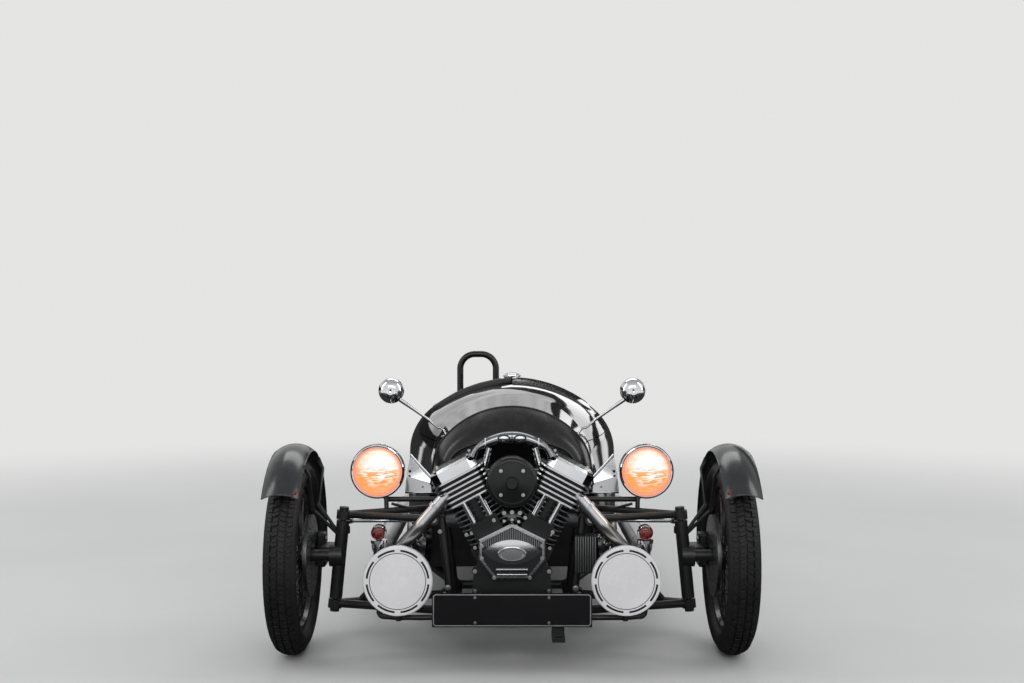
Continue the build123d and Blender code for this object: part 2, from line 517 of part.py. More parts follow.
lens_pad = lens_pad & Pos(0, shield_front - 9 + LENS_SWELL, LENS_Z + 14) * Sphere(LENS_SWELL)
rib_bars = [block((0, shield_front + 3, z), (2 * half, 12, 7), (0, 0, 0), 2) for z, half in ((334, 52), (317, 50))]
shield = one([shield, lens_pad] + rib_bars)
crankcase = crankcase - slab(CASE_FRONT - 8, CASE_FRONT - 4, 200, 500)
save("cam_cover", shield - crankcase)
save("crankcase", crankcase)
COOLER_Y = -166
save("oil_cooler", block((243, COOLER_Y, 372), (72, 37, 125)))
BELT_X, BELT_WIDE, FRONT_PULLEY_R, BEVEL_Y = 118, 26, 45, WHEELBASE - 485
gearbox = one([cone((0, CASE_BACK, CRANK_Z), (0, 240, CRANK_Z), 118, 80),
               rod((0, 240, CRANK_Z), (0, 560, CRANK_Z), 80),
               rod((0, 560, CRANK_Z), (0, BEVEL_Y, CRANK_Z), 32), block((0, BEVEL_Y, CRANK_Z), (150, 110, 120), (0, 0, 0), 10),
               rod((70, BEVEL_Y, CRANK_Z), (BELT_X + BELT_WIDE / 2, BEVEL_Y, CRANK_Z), FRONT_PULLEY_R)])
save("gearbox", gearbox)

# Exhaust: header and silencer each side
PIPE_R, SILENCER_R = 22, 42
header = bent_rod([(212, -178, 570), (300, -185, 469), (372, -146, 387), (385, -118, 290), (345, -30, 262),
                   (345, 170, 262), (505, 470, 250), (512, 640, 250)], PIPE_R, 34)
SILENCER_END = WHEELBASE - 590
silencer = one([rod((512, 640, 250), (512, SILENCER_END, 250), SILENCER_R),
                rod((512, SILENCER_END, 250), (512, SILENCER_END + 190, 250), 24)])
exhaust = one([header, silencer])
save("exhausts", both_sides(exhaust - on_cylinder(1) * head))

# Lamps
LAMP_X, LAMP_Z, LAMP_Y, LAMP_R = 470, 617, 60, 95
bowl = lathed([(0, 24), (LAMP_R - 9, 24), (LAMP_R - 9, 0), (LAMP_R, 0), (LAMP_R, 26), (LAMP_R - 5, 30),
               (68, 120, 16, 168), (0, 168)], (LAMP_X, LAMP_Y, LAMP_Z))
save("headlamps", both_sides(bowl))
lens = lathed([(0, 10), (LAMP_R - 9.5, 10), (LAMP_R - 9.5, 2), (48, -5, 6, -8), (0, -8)], (LAMP_X, LAMP_Y, LAMP_Z))
save("headlamp_lenses", both_sides(lens))
SPOT_X, SPOT_Z, SPOT_R, SPOT_Y, SPOT_DEPTH = 375, 290, 115, -222, 52
spot = lathed([(0, 0), (SPOT_R - 8, 0), (SPOT_R - 1, 3, SPOT_R, 10), (SPOT_R, 24), (SPOT_R - 8, 26),
               (90, 44, 60, SPOT_DEPTH), (0, SPOT_DEPTH)], (SPOT_X, SPOT_Y, SPOT_Z))
save("spot_lamps", both_sides(spot))
arm_path = bent_rod([(TOWER_X, 92, TOWER_Z), (266, 92, 516), (440, 92, 516), (LAMP_X, 92, 560)], 9, 16)
POST_X = 443
post = bent_rod([(FRONT_RAIL_X, -172, 160), (380, -172, 160), (POST_X, -150, 160), (POST_X, -150, 418)], 9, 15)
sleeve = rod((POST_X, -150, 330), (POST_X, -150, 404), 14)
collar = rod((POST_X, -150, 404), (POST_X, -150, 414), 26)
spot_foot = rod((SPOT_X, -184, 152), (SPOT_X, -184, 215), 9)
lamp_arms = apart([arm_path - bowl - frame_solid, one([post, sleeve, collar, spot_foot]) - spot - frame_solid])
save("lamp_brackets", both_sides(lamp_arms))
blinker = lathed([(0, 0), (22, 0), (25, 4), (25, 34), (16, 42), (0, 42)], (POST_X, -172, 441))
save("indicators", both_sides(blinker - collar - post))
PLATE_Z = 205
save("number_plate", block((0, -262.1, PLATE_Z), (520, 3, 111)))
MIRROR = (484, 700, 862)
mirror_bowl = lathed([(0, 46), (49, 46), (50, 38), (46, 8, 0, -10)], MIRROR)
stalk = rod((484, 725, 850), (330, 745, 740), 6)
save("mirrors", both_sides(one([mirror_bowl, stalk]) - hull(0)))

# Bright side fairings between the nose and the headlamps
fairing_side = make_face(Polyline((0, 196, 520), (0, 196, 592), (0, 424, 640), (0, 424, 520), close=True))
fairing = Pos(250, 0, 0) * extrude(fairing_side, 135, dir=(1, 0, 0))
hollow = make_face(Polyline((0, 200, 516), (0, 200, 587), (0, 440, 638), (0, 440, 516), close=True))
fairing = fairing - Pos(250, 0, 0) * extrude(hollow, 131, dir=(1, 0, 0)) 
for drop in (0, 40):
    fairing = fairing - hull(0.8, drop, NOSE[:4]) - hull(0.8, drop, NOSE[3:])
save("side_fairings", both_sides(fairing.solids().sort_by(Axis.X)[-1]))

# Rear: swing arm with its axle, wheel, tyre, pulley, belt, dampers
AXLE_R = 12.5
rear_z = REAR_TYRE_R
PIVOT_Y, PIVOT_Z = WHEELBASE - 385, 291
arm_turn = math.degrees(math.atan2(rear_z - PIVOT_Z, WHEELBASE - PIVOT_Y))
arm = block((150, (PIVOT_Y + WHEELBASE) / 2, (PIVOT_Z + rear_z) / 2), (24, WHEELBASE - PIVOT_Y + 60, 56), (arm_turn, 0, 0))
damper_lug = block((176, WHEELBASE - 90, 318), (32, 34, 46))
swing = one([arm, other_side(arm), damper_lug, other_side(damper_lug),
             rod((-145, PIVOT_Y, PIVOT_Z), (145, PIVOT_Y, PIVOT_Z), 22),
             rod((-165, WHEELBASE, rear_z), (165, WHEELBASE, rear_z), AXLE_R)])
swing_posts = [rod((side * 80, RAIL_END, RAIL_Z), (side * 80, PIVOT_Y, PIVOT_Z), 12) for side in (-1, 1)]
save("swing_arm", swing)
rear_tyre = Pos(0, WHEELBASE, rear_z) * tyre(REAR_TYRE_R, 97.5, 203, 82, 84, 10)
save("rear_tyre", rear_tyre)
rear_disc = [(-70, AXLE_R + RUN_FIT), (70, AXLE_R + RUN_FIT), (70, 45), (8, 45), (8, 192), (-8, 192), (-8, 45), (-70, 45)]
rear_wheel = one([turned(rim(203, 82, 215, 16), (0, 0, 0)), turned(rear_disc, (0, 0, 0))])
for i in range(5):
    rear_wheel = rear_wheel - Rot(i * 72, 0, 0) * Pos(0, 0, 120) * Rot(0, 90, 0) * Cylinder(34, 60)
PULLEY_R = 105
pulley = turned([(60, AXLE_R + RUN_FIT), (60, 60), (104, 60), (104, PULLEY_R), (132, PULLEY_R), (132, 70), (124, 50),
                 (132, 30), (132, AXLE_R + RUN_FIT)], (0, 0, 0))
save("rear_wheel", Pos(0, WHEELBASE, rear_z) * one([rear_wheel, pulley]))
BELT_THICK, BELT_CLEAR = 5, 0.4


def belt_loop(grow):
    rear = Pos(WHEELBASE, rear_z) * CenterArc((0, 0), PULLEY_R + grow, 0, 360)
    front = Pos(BEVEL_Y, CRANK_Z) * CenterArc((0, 0), FRONT_PULLEY_R + grow, 0, 360)
    return make_face(make_hull([rear.edge(), front.edge()]))


loop = belt_loop(BELT_CLEAR + BELT_THICK) - belt_loop(BELT_CLEAR)
belt = extrude(Plane.YZ * loop, BELT_WIDE)
save("drive_belt", Pos(BELT_X - BELT_WIDE / 2, 0, 0) * belt)
damper_top, damper_foot = Vector(190, HOOP_REAR_Y + 2, 602), Vector(184, WHEELBASE - 90, 330)
damper = one([rod(damper_foot, damper_top, 12),
              rod(damper_foot + (damper_top - damper_foot) * 0.14, damper_foot + (damper_top - damper_foot) * 0.82, 28)])
front_foot, front_top = Vector(520, 0, 186), Vector(244, 0, 486)
front_damper = one([rod(front_foot, front_top, 12),
                    rod(front_foot + (front_top - front_foot) * 0.14, front_foot + (front_top - front_foot) * 0.8, 28)])
save("dampers", both_sides(apart([damper - rear_hoop - swing, front_damper - frame_solid - low_arm - top_arm])))
tail_lamp = rod((156, TAIL_END - 138, 520), (156, TAIL_END - 78, 520), 24)
save("tail_lamps", both_sides(tail_lamp - tail_cap))

# Frame with what is welded to it, cut to what it holds
feet = one([rail_set, tow_lug, gearbox_foot] + pads + plate_lugs + hangers + mounts + swing_posts)
save("chassis", feet - gearbox - crankcase - exhaust - other_side(exhaust) - swing)
save("front_frame", front_frame)
save("rear_hoop", rear_hoop - rail_set)
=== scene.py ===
import bpy
import bmesh
import math
from mathutils import Matrix, Vector
from mathutils.bvhtree import BVHTree


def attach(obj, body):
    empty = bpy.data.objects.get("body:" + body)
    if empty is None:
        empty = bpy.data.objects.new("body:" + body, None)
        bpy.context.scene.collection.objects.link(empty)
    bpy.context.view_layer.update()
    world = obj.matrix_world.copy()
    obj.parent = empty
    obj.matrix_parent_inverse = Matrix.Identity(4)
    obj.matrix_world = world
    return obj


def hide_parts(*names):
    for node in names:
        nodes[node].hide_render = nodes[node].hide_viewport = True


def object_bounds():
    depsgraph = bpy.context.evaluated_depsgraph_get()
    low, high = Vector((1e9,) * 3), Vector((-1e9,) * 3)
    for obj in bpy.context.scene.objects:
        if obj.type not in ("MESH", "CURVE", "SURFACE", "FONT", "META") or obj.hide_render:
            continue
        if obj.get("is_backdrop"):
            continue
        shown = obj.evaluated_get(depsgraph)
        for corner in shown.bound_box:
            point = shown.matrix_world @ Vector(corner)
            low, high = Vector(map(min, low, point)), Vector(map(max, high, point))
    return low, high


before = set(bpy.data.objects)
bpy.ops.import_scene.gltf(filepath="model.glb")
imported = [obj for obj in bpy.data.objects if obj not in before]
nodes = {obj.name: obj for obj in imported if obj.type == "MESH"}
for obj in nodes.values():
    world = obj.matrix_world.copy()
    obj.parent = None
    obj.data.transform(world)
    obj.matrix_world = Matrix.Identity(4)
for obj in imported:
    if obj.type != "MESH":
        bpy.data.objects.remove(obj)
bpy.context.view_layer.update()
scene = bpy.context.scene
scene.view_settings.view_transform = "Standard"
sides = (("L", 1), ("R", -1))
frontAxleY = -1.2775  # the front axle's place along the frame, in metres
cylinderLean = math.radians(28)
cylinderFoot = (0, -110, 290)


def at(x, y, z):  # millimetres from the ground under the front axle, as the part is drawn, to the scene
    return Vector((x / 1000, y / 1000 + frontAxleY, z / 1000))


def newPiece(name, mesh):
    mesh.name = name
    piece = bpy.data.objects.new(name, mesh)
    scene.collection.objects.link(piece)
    return piece


def smoothed(mesh, angle):
    mesh.shade_smooth()
    mesh.set_sharp_from_angle(angle=math.radians(angle))


def fromBm(name, bm, smoothAngle=35):
    bmesh.ops.remove_doubles(bm, verts=bm.verts, dist=1e-6)
    bmesh.ops.recalc_face_normals(bm, faces=bm.faces)
    mesh = bpy.data.meshes.new(name)
    bm.to_mesh(mesh)
    bm.free()
    smoothed(mesh, smoothAngle)
    return newPiece(name, mesh)


def applied(piece):  # what the modifiers make, as a plain mesh
    graph = bpy.context.evaluated_depsgraph_get()
    mesh = bpy.data.meshes.new_from_object(piece.evaluated_get(graph), depsgraph=graph)
    piece.modifiers.clear()
    if piece.type == "MESH":
        piece.data = mesh
        return piece
    name = piece.name
    bpy.data.objects.remove(piece)
    return newPiece(name, mesh)


def settle(piece, finish, slotName=None, replaced=(), body="body"):
    piece.data.materials.clear()
    piece.data.materials.append(finish.material)
    slotName = slotName or finish.slotName
    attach(piece, body)
    if replaced:
        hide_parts(*replaced)
    return piece


def joined(name, pieces):
    bm = bmesh.new()
    for piece in pieces:
        bm.from_mesh(piece.data)
    mesh = bpy.data.meshes.new(name)
    bm.to_mesh(mesh)
    bm.free()
    for piece in pieces:
        bpy.data.objects.remove(piece)
    return newPiece(name, mesh)


def quads(bm, pairs):  # faces all round between the two rings of each pair
    for a, b in pairs:
        for i in range(len(a)):
            j = (i + 1) % len(a)
            corners = list(dict.fromkeys((a[i], a[j], b[j], b[i])))
            if len(corners) > 2:
                try:
                    bm.faces.new(corners)
                except ValueError:
                    pass


turnTo = {"X": Matrix.Identity(3), "Y": Matrix(((0, -1, 0), (1, 0, 0), (0, 0, 1))),
          "Z": Matrix(((0, 0, -1), (0, 1, 0), (1, 0, 0)))}


# outline: (along the axis, out from it) in millimetres, closed on itself unless it touches the axis or the call says so
def lathe(name, outline, centre, axis="X", steps=96, smoothAngle=35, closed=None):
    if closed is None:
        closed = min(out for _, out in outline) > 0.01
    bm = bmesh.new()
    rings = []
    for along, out in outline:
        if out < 0.01:
            rings.append([bm.verts.new((along / 1000, 0, 0))] * steps)
            continue
        angles = [2 * math.pi * i / steps for i in range(steps)]
        rings.append([bm.verts.new((along / 1000, out / 1000 * math.cos(a), out / 1000 * math.sin(a))) for a in angles])
    quads(bm, list(zip(rings, rings[1:])) + ([(rings[-1], rings[0])] if closed else []))
    for v in bm.verts:
        v.co = turnTo[axis] @ v.co + centre
    return fromBm(name, bm, smoothAngle)


def boxPiece(name, middle, size, bevel, turn=None):  # middle in the scene, size in millimetres
    bm = bmesh.new()
    bmesh.ops.create_cube(bm, size=1)
    for v in bm.verts:
        v.co = Vector((v.co.x * size[0], v.co.y * size[1], v.co.z * size[2])) / 1000
    bmesh.ops.bevel(bm, geom=bm.edges[:], offset=bevel / 1000, segments=2, profile=0.5, affect="EDGES")
    for v in bm.verts:
        v.co = (turn @ v.co if turn else v.co) + middle
    return fromBm(name, bm)


def tube(name, points, radius, sides=12, bends=0):  # straight from point to point, or one curve with so many steps a bend
    curve = bpy.data.curves.new(name, "CURVE")
    curve.dimensions = "3D"
    spline = curve.splines.new("NURBS" if bends else "POLY")
    spline.points.add(len(points) - 1)
    for p, q in zip(spline.points, points):
        p.co = (*q, 1)
    if bends:
        spline.order_u = 3
        spline.use_endpoint_u = True
        spline.resolution_u = bends
    curve.bevel_depth = radius / 1000
    curve.bevel_resolution = max(1, sides // 4)
    curve.use_fill_caps = True
    made = bpy.data.objects.new(name, curve)
    scene.collection.objects.link(made)
    piece = applied(made)
    smoothed(piece.data, 50)
    return piece


class Graph:  # a node tree, with short ways to add nodes and join them
    def __init__(self, tree):
        self.tree = tree

    def put(self, socket, value):  # links an output, or sets a number
        if hasattr(value, "links"):
            self.tree.links.new(value, socket)
        elif value is not None:
            socket.default_value = value

    def add(self, kind, inputs=None, **settings):
        node = self.tree.nodes.new(kind)
        for name, value in settings.items():
            setattr(node, name, value)
        for key, value in (inputs or {}).items():
            self.put(node.inputs[key], value)
        return node

    def math(self, operation, *values):
        return self.add("ShaderNodeMath", dict(enumerate(values)), operation=operation).outputs[0]

    def plus(self, a, b):
        return self.math("ADD", a, b)

    def minus(self, a, b):
        return self.math("SUBTRACT", a, b)

    def times(self, a, b):
        return self.math("MULTIPLY", a, b)

    def vector(self, operation, a, b=None, scale=None):
        node = self.add("ShaderNodeVectorMath", {0: a, 1: b, 3: scale}, operation=operation)
        return node.outputs["Value"] if operation in ("DOT_PRODUCT", "LENGTH", "DISTANCE") else node.outputs[0]

    def noise(self, vector, scale, detail=3.0):
        return self.add("ShaderNodeTexNoise", {"Detail": detail, "Vector": vector, "Scale": scale}).outputs[0]

    def spread(self, value, low, high, newLow=0.0, newHigh=1.0):
        numbers = {"Value": value, "From Min": low, "From Max": high, "To Min": newLow, "To Max": newHigh}
        return self.add("ShaderNodeMapRange", numbers, interpolation_type="SMOOTHSTEP").outputs[0]

    def ramp(self, factor, stops):  # a stop is a place with a colour or a grey
        node = self.add("ShaderNodeValToRGB", {0: factor})
        row = node.color_ramp.elements
        stops = [(place, (*(c if isinstance(c, tuple) else (c,) * 3), 1)) for place, c in stops]
        row[0].position, row[0].color = stops[0]
        row[1].position, row[1].color = stops[-1]
        for place, colour in stops[1:-1]:
            row.new(place).color = colour
        return node.outputs[0]

    def mix(self, factor, a, b, kind="MIX"):
        a, b = [(*c, 1) if isinstance(c, tuple) else c for c in (a, b)]
        return self.add("ShaderNodeMix", {0: factor, 6: a, 7: b}, data_type="RGBA", blend_type=kind).outputs[2]

    def axes(self, vector):
        return self.add("ShaderNodeSeparateXYZ", {0: vector}).outputs


class Copier(Graph):  # a Geometry Nodes tree that ends in Realize Instances and Set Material
    def __init__(self, name, **inputs):
        super().__init__(bpy.data.node_groups.new(name, "GeometryNodeTree"))
        self.tree.is_modifier = True
        socket = self.tree.interface.new_socket
        socket("Geometry", in_out="INPUT", socket_type="NodeSocketGeometry")
        for label, value in inputs.items():
            kind = {int: "Int", float: "Float", tuple: "Vector"}[type(value)]
            socket(label, in_out="INPUT", socket_type="NodeSocket" + kind).default_value = value
        socket("Material", in_out="INPUT", socket_type="NodeSocketMaterial")
        socket("Geometry", in_out="OUTPUT", socket_type="NodeSocketGeometry")
        self.start = self.tree.nodes.new("NodeGroupInput").outputs
        self.end = self.tree.nodes.new("NodeGroupOutput")

    def __getitem__(self, label):
        return self.start[label]

    def copies(self, points, piece, rotation=None, scale=None):
        inputs = {"Points": points, "Instance": piece, "Rotation": rotation, "Scale": scale}
        return self.add("GeometryNodeInstanceOnPoints", inputs).outputs[0]

    def ending(self, made):
        real = self.add("GeometryNodeRealizeInstances", {0: made})
        paint = self.add("GeometryNodeSetMaterial", {"Geometry": real.outputs[0], "Material": self["Material"]})
        self.put(self.end.inputs[0], paint.outputs[0])
        return self

    def run(self, piece, finish, **values):
        modifier = piece.modifiers.new(self.tree.name, "NODES")
        modifier.node_group = self.tree
        values["Material"] = finish.material
        for item in self.tree.interface.items_tree:
            if item.item_type == "SOCKET" and item.in_out == "INPUT" and item.name in values:
                modifier[item.identifier] = values[item.name]
        return applied(piece)


def makeSpinTree():  # turns copies of the piece's own mesh about an axis through a centre
    g = Copier("spinCopies", Count=6, Phase=0.0, Axis=(1, 0, 0), Centre=(0, 0, 0))
    points = g.add("GeometryNodePoints", {"Count": g["Count"], "Position": g["Centre"]})
    index = g.add("GeometryNodeInputIndex").outputs[0]
    step = g.math("DIVIDE", 2 * math.pi, g["Count"])
    angle = g.plus(g.times(index, step), g["Phase"])
    return g.ending(g.copies(points.outputs[0], g["Geometry"], g.vector("SCALE", g["Axis"], scale=angle)))


def makeRowTree():  # copies of the piece's own mesh in a straight row
    g = Copier("rowCopies", Count=6, Step=(0.01, 0, 0))
    place = g.vector("SCALE", g["Step"], scale=g.add("GeometryNodeInputIndex").outputs[0])
    points = g.add("GeometryNodePoints", {"Count": g["Count"], "Position": place})
    return g.ending(g.copies(points.outputs[0], g["Geometry"]))


def makeBoltTree():  # a bolt with its washer on each vertex, by the attributes facing and size
    g = Copier("boltsOnPoints", Sides=6, Head=0.7, Washer=1.45)
    parts = g.add("GeometryNodeJoinGeometry")
    washerHigh = 0.25
    middle = g.add("ShaderNodeCombineXYZ", {"Z": g.plus(g.times(g["Head"], 0.5), washerHigh)}).outputs[0]
    for sideCount, radius, height, lift in ((g["Sides"], 1.0, g["Head"], middle),
                                            (20, g["Washer"], washerHigh, (0, 0, washerHigh / 2))):
        body = g.add("GeometryNodeMeshCylinder", {"Vertices": sideCount, "Radius": radius, "Depth": height})
        shift = g.add("GeometryNodeTransform", {"Geometry": body.outputs["Mesh"], "Translation": lift})
        g.put(parts.inputs[0], shift.outputs[0])
    dots = g.add("GeometryNodeMeshToPoints", {0: g["Geometry"]}).outputs[0]
    facing = g.add("GeometryNodeInputNamedAttribute", {"Name": "facing"}, data_type="FLOAT_VECTOR").outputs["Attribute"]
    size = g.add("GeometryNodeInputNamedAttribute", {"Name": "size"}).outputs["Attribute"]
    aim = g.add("FunctionNodeAlignEulerToVector", {"Vector": facing}, axis="Z").outputs[0]
    return g.ending(g.copies(dots, parts.outputs[0], aim, size))


def makeCoilTree():  # a spring that rises from Place, turned by Turn
    g = Copier("coilSpring", Turns=8.0, Radius=0.03, Wire=0.004, Length=0.2, Place=(0, 0, 0), Turn=(0, 0, 0))
    inputs = {"Resolution": 28, "Rotations": g["Turns"], "Start Radius": g["Radius"], "End Radius": g["Radius"],
              "Height": g["Length"]}
    spiral = g.add("GeometryNodeCurveSpiral", inputs)
    ring = g.add("GeometryNodeCurvePrimitiveCircle", {"Resolution": 10, "Radius": g["Wire"]})
    inputs = {"Fill Caps": True, "Curve": spiral.outputs[0], "Profile Curve": ring.outputs["Curve"]}
    wire = g.add("GeometryNodeCurveToMesh", inputs).outputs[0]
    move = g.add("GeometryNodeTransform", {"Geometry": wire, "Translation": g["Place"], "Rotation": g["Turn"]}).outputs[0]
    return g.ending(g.add("GeometryNodeSetShadeSmooth", {"Geometry": move}).outputs[0])


def makeStitchTree():  # short threads at even steps along the piece's edges
    g = Copier("stitches", Spacing=0.009, Thread=0.0008, Length=0.006)
    line = g.add("GeometryNodeMeshToCurve", {"Mesh": g["Geometry"]}).outputs[0]
    steps = g.add("GeometryNodeResampleCurve", {"Curve": line, "Length": g["Spacing"]}, mode="LENGTH").outputs[0]
    inputs = {"Vertices": 6, "Radius": g["Thread"], "Depth": g["Length"]}
    thread = g.add("GeometryNodeMeshCylinder", inputs).outputs["Mesh"]
    tangent = g.add("GeometryNodeInputTangent").outputs[0]
    aim = g.add("FunctionNodeAlignEulerToVector", {"Vector": tangent}, axis="Z").outputs[0]
    return g.ending(g.copies(steps, thread, aim))


spinTree, rowTree, boltTree = makeSpinTree(), makeRowTree(), makeBoltTree()
coilTree, stitchTree = makeCoilTree(), makeStitchTree()


def spun(piece, finish, count, centre, phase=0.0, axis=(1, 0, 0)):  # phase in steps
    return spinTree.run(piece, finish, Count=count, Phase=2 * math.pi / count * phase, Axis=axis, Centre=tuple(centre))


print("node trees made")


def makeSurfaceGroup():  # colour drift, roughness drift, fine grain and dust on upward faces
    g = Graph(bpy.data.node_groups.new("surfaceDetail", "ShaderNodeTree"))
    grey = (0.5, 0.5, 0.5, 1)
    inputs = {"Vector": None, "Base": grey, "Drift": grey, "Drift scale": 6.0, "Rough low": 0.3, "Rough high": 0.45,
              "Grain scale": 400.0, "Dust": 0.1, "Facing": None}
    for label, value in inputs.items():
        kind = {float: "Float", tuple: "Color"}.get(type(value), "Vector")
        g.put(g.tree.interface.new_socket(label, in_out="INPUT", socket_type="NodeSocket" + kind), value)
    for label, kind in (("Colour", "Color"), ("Roughness", "Float"), ("Height", "Float")):
        g.tree.interface.new_socket(label, in_out="OUTPUT", socket_type="NodeSocket" + kind)
    start, end = g.tree.nodes.new("NodeGroupInput").outputs, g.tree.nodes.new("NodeGroupOutput")
    drift = g.spread(g.noise(start["Vector"], start["Drift scale"], 4.0), 0.3, 0.7)
    smear = g.noise(start["Vector"], 37.0, 5.0)
    settled = g.times(g.spread(g.axes(start["Facing"])[2], 0.1, 0.95), g.spread(smear, 0.4, 0.75))
    dust = g.times(settled, start["Dust"])
    rough = g.plus(start["Rough low"], g.times(g.minus(start["Rough high"], start["Rough low"]), smear))
    g.put(end.inputs["Colour"], g.mix(dust, g.mix(drift, start["Base"], start["Drift"]), (0.42, 0.40, 0.37)))
    g.put(end.inputs["Roughness"], g.plus(rough, g.times(dust, 0.5)))
    g.put(end.inputs["Height"], g.noise(start["Vector"], start["Grain scale"], 2.0))
    return g.tree


surfaceGroup = makeSurfaceGroup()


class Finish(Graph):  # one material: object coordinates through surfaceDetail into a Principled BSDF
    def __init__(self, name, slotName, base, drift=None, rough=(0.3, 0.45), metal=0.0, grain=(400, 0.02), driftScale=6.0,
                 dust=0.08, coat=0.0, coatRough=0.05, specular=0.5):
        self.material = bpy.data.materials.new(name)
        self.material.use_nodes = True
        super().__init__(self.material.node_tree)
        self.slotName = slotName  # the record's slot that goes with this finish
        self.shader = self.tree.nodes["Principled BSDF"]
        place = self.add("ShaderNodeTexCoord").outputs
        self.here, self.normal = place["Object"], place["Normal"]
        detail = self.add("ShaderNodeGroup", node_tree=surfaceGroup)
        self.base, self.rough, self.fine = detail.outputs
        values = {"Base": (*base, 1), "Drift": (*(drift or base), 1), "Drift scale": driftScale, "Rough low": rough[0],
                  "Rough high": rough[1], "Grain scale": grain[0], "Dust": dust, "Vector": self.here,
                  "Facing": self.normal}
        for label, value in values.items():
            self.put(detail.inputs[label], value)
        self.bump = self.add("ShaderNodeBump")
        self.height(self.fine, grain[1])
        values = {"Base Color": self.base, "Roughness": self.rough,
                  "Normal": self.bump.outputs[0], "Metallic": metal, "Coat Weight": coat, "Coat Roughness": coatRough,
                  "Specular IOR Level": specular}
        for label, value in values.items():
            self.put(self.shader.inputs[label], value)

    def colour(self, socket):
        self.put(self.shader.inputs["Base Color"], socket)

    def metallic(self, socket):
        self.put(self.shader.inputs["Metallic"], socket)

    def glow(self, socket, strength):
        self.put(self.shader.inputs["Emission Color"], socket)
        self.shader.inputs["Emission Strength"].default_value = strength

    def height(self, socket, strength, distance=0.001):
        self.put(self.bump.inputs["Height"], socket)
        self.bump.inputs["Strength"].default_value = strength
        self.bump.inputs["Distance"].default_value = distance

    def moved(self, offset):
        inputs = {"Location": tuple(offset), "Vector": self.here}
        return self.add("ShaderNodeMapping", inputs, vector_type="TEXTURE").outputs[0]


# Finishes: name, slot, base colour, drift colour, roughness from and to, then what differs from plain
polish = {"base": (0.80, 0.81, 0.82), "drift": (0.70, 0.71, 0.73), "rough": (0.07, 0.17), "metal": 1.0,
          "grain": (150, 0.02), "dust": 0.02}
leather = ((0.012, 0.011, 0.011), (0.020, 0.018, 0.017))
paintBlack = Finish("paintGlossBlack", "black_paint", (0.004, 0.004, 0.005), (0.006, 0.006, 0.007), (0.05, 0.10),
                    grain=(60, 0.004), coat=1.0, coatRough=0.02, dust=0.02)
cowlBlack = Finish("cowlSatinBlack", "black_paint", (0.006, 0.006, 0.007), (0.010, 0.010, 0.011), (0.24, 0.33),
                   grain=(900, 0.03), coat=0.25, coatRough=0.12, dust=0.03, specular=0.35)
guardPaint = Finish("guardSatinGrey", "guard_paint", (0.012, 0.013, 0.015), (0.018, 0.019, 0.021), (0.22, 0.28),
                    grain=(900, 0.03), coat=0.4, coatRough=0.15, dust=0.02)
framePaint = Finish("framePowderBlack", "frame_paint", (0.010, 0.010, 0.011), (0.016, 0.016, 0.017), (0.28, 0.42),
                    grain=(700, 0.10), dust=0.10)
wheelBlack = Finish("wheelEnamelBlack", "frame_paint", (0.008, 0.008, 0.009), (0.014, 0.014, 0.015), (0.18, 0.30),
                    grain=(600, 0.03), dust=0.12, coat=0.3)
engineBlack = Finish("engineWrinkleBlack", "black_engine", (0.004, 0.005, 0.005), (0.009, 0.010, 0.010), (0.36, 0.52),
                     grain=(1500, 0.35), dust=0.04, specular=0.35)
domeBlack = Finish("intakeSatinBlack", "black_engine", (0.004, 0.005, 0.005), (0.008, 0.009, 0.009), (0.22, 0.30),
                   grain=(900, 0.04), dust=0.03, specular=0.4)
tyreRubber = Finish("tyreRubber", "tyre_rubber", (0.006, 0.006, 0.007), (0.012, 0.012, 0.012), (0.48, 0.66),
                    grain=(700, 0.2), dust=0.08, driftScale=9, specular=0.35)
polished = Finish("aluminiumPolished", "polished_aluminium", **polish)
castMetal = Finish("aluminiumCast", "cast_aluminium", (0.36, 0.37, 0.38), (0.26, 0.27, 0.28), (0.42, 0.58), metal=1.0,
                   grain=(1400, 0.35), dust=0.15)
# chrome with its colour darkened: a painted dark reflection, used on the arch band
paintedDarkChrome = Finish("chromeSmoked", "polished_aluminium", (0.30, 0.31, 0.32), (0.25, 0.26, 0.27), (0.06, 0.12), metal=1.0,
                    grain=(90, 0.004), dust=0.0)
chrome = Finish("chromePlate", "chrome", (0.86, 0.87, 0.88), (0.80, 0.81, 0.83), (0.03, 0.08), metal=1.0,
                grain=(90, 0.004), dust=0.0)
steel = Finish("steelBrushed", "steel", (0.52, 0.53, 0.54), (0.42, 0.43, 0.45), (0.22, 0.36), metal=1.0,
               grain=(700, 0.08), dust=0.04)
fastener = Finish("zincFastener", "steel", (0.60, 0.60, 0.60), (0.45, 0.45, 0.45), (0.22, 0.36), metal=1.0,
                  grain=(900, 0.05), dust=0.0)
hoseRubber = Finish("hoseRubber", "rubber", (0.012, 0.012, 0.012), (0.020, 0.020, 0.020), (0.45, 0.6), grain=(900, 0.12),
                    dust=0.12)
boardBlack = Finish("plateGlossBlack", "plate", (0.008, 0.008, 0.009), (0.010, 0.010, 0.011), (0.12, 0.2),
                    grain=(500, 0.01), coat=0.6, dust=0.03)
silverLine = Finish("plateBorderSilver", "plate", (0.80, 0.81, 0.82), (0.72, 0.73, 0.74), (0.25, 0.35), metal=0.9,
                    dust=0.0)
carpet = Finish("floorCarpet", "frame_paint", (0.018, 0.017, 0.016), (0.030, 0.028, 0.026), (0.85, 0.95),
                grain=(1800, 1.0), dust=0.1)
belt = Finish("driveBeltRubber", "rubber", (0.012, 0.012, 0.012), (0.020, 0.020, 0.021), (0.5, 0.65), grain=(900, 0.2),
              dust=0.2)
coolerGrey = Finish("coolerFinGrey", "black_engine", (0.20, 0.205, 0.21), (0.14, 0.145, 0.15), (0.30, 0.42), metal=0.8,
                    grain=(900, 0.05), dust=0.03)
# near-black: painted shade in slots, grooves, holes, pipe mouths and under the fairing flange, and the real black of
# the arch seam and dial hands
slotDark = Finish("slotDark", "polished_aluminium", (0.006, 0.006, 0.006), None, (0.5, 0.6), dust=0.0)
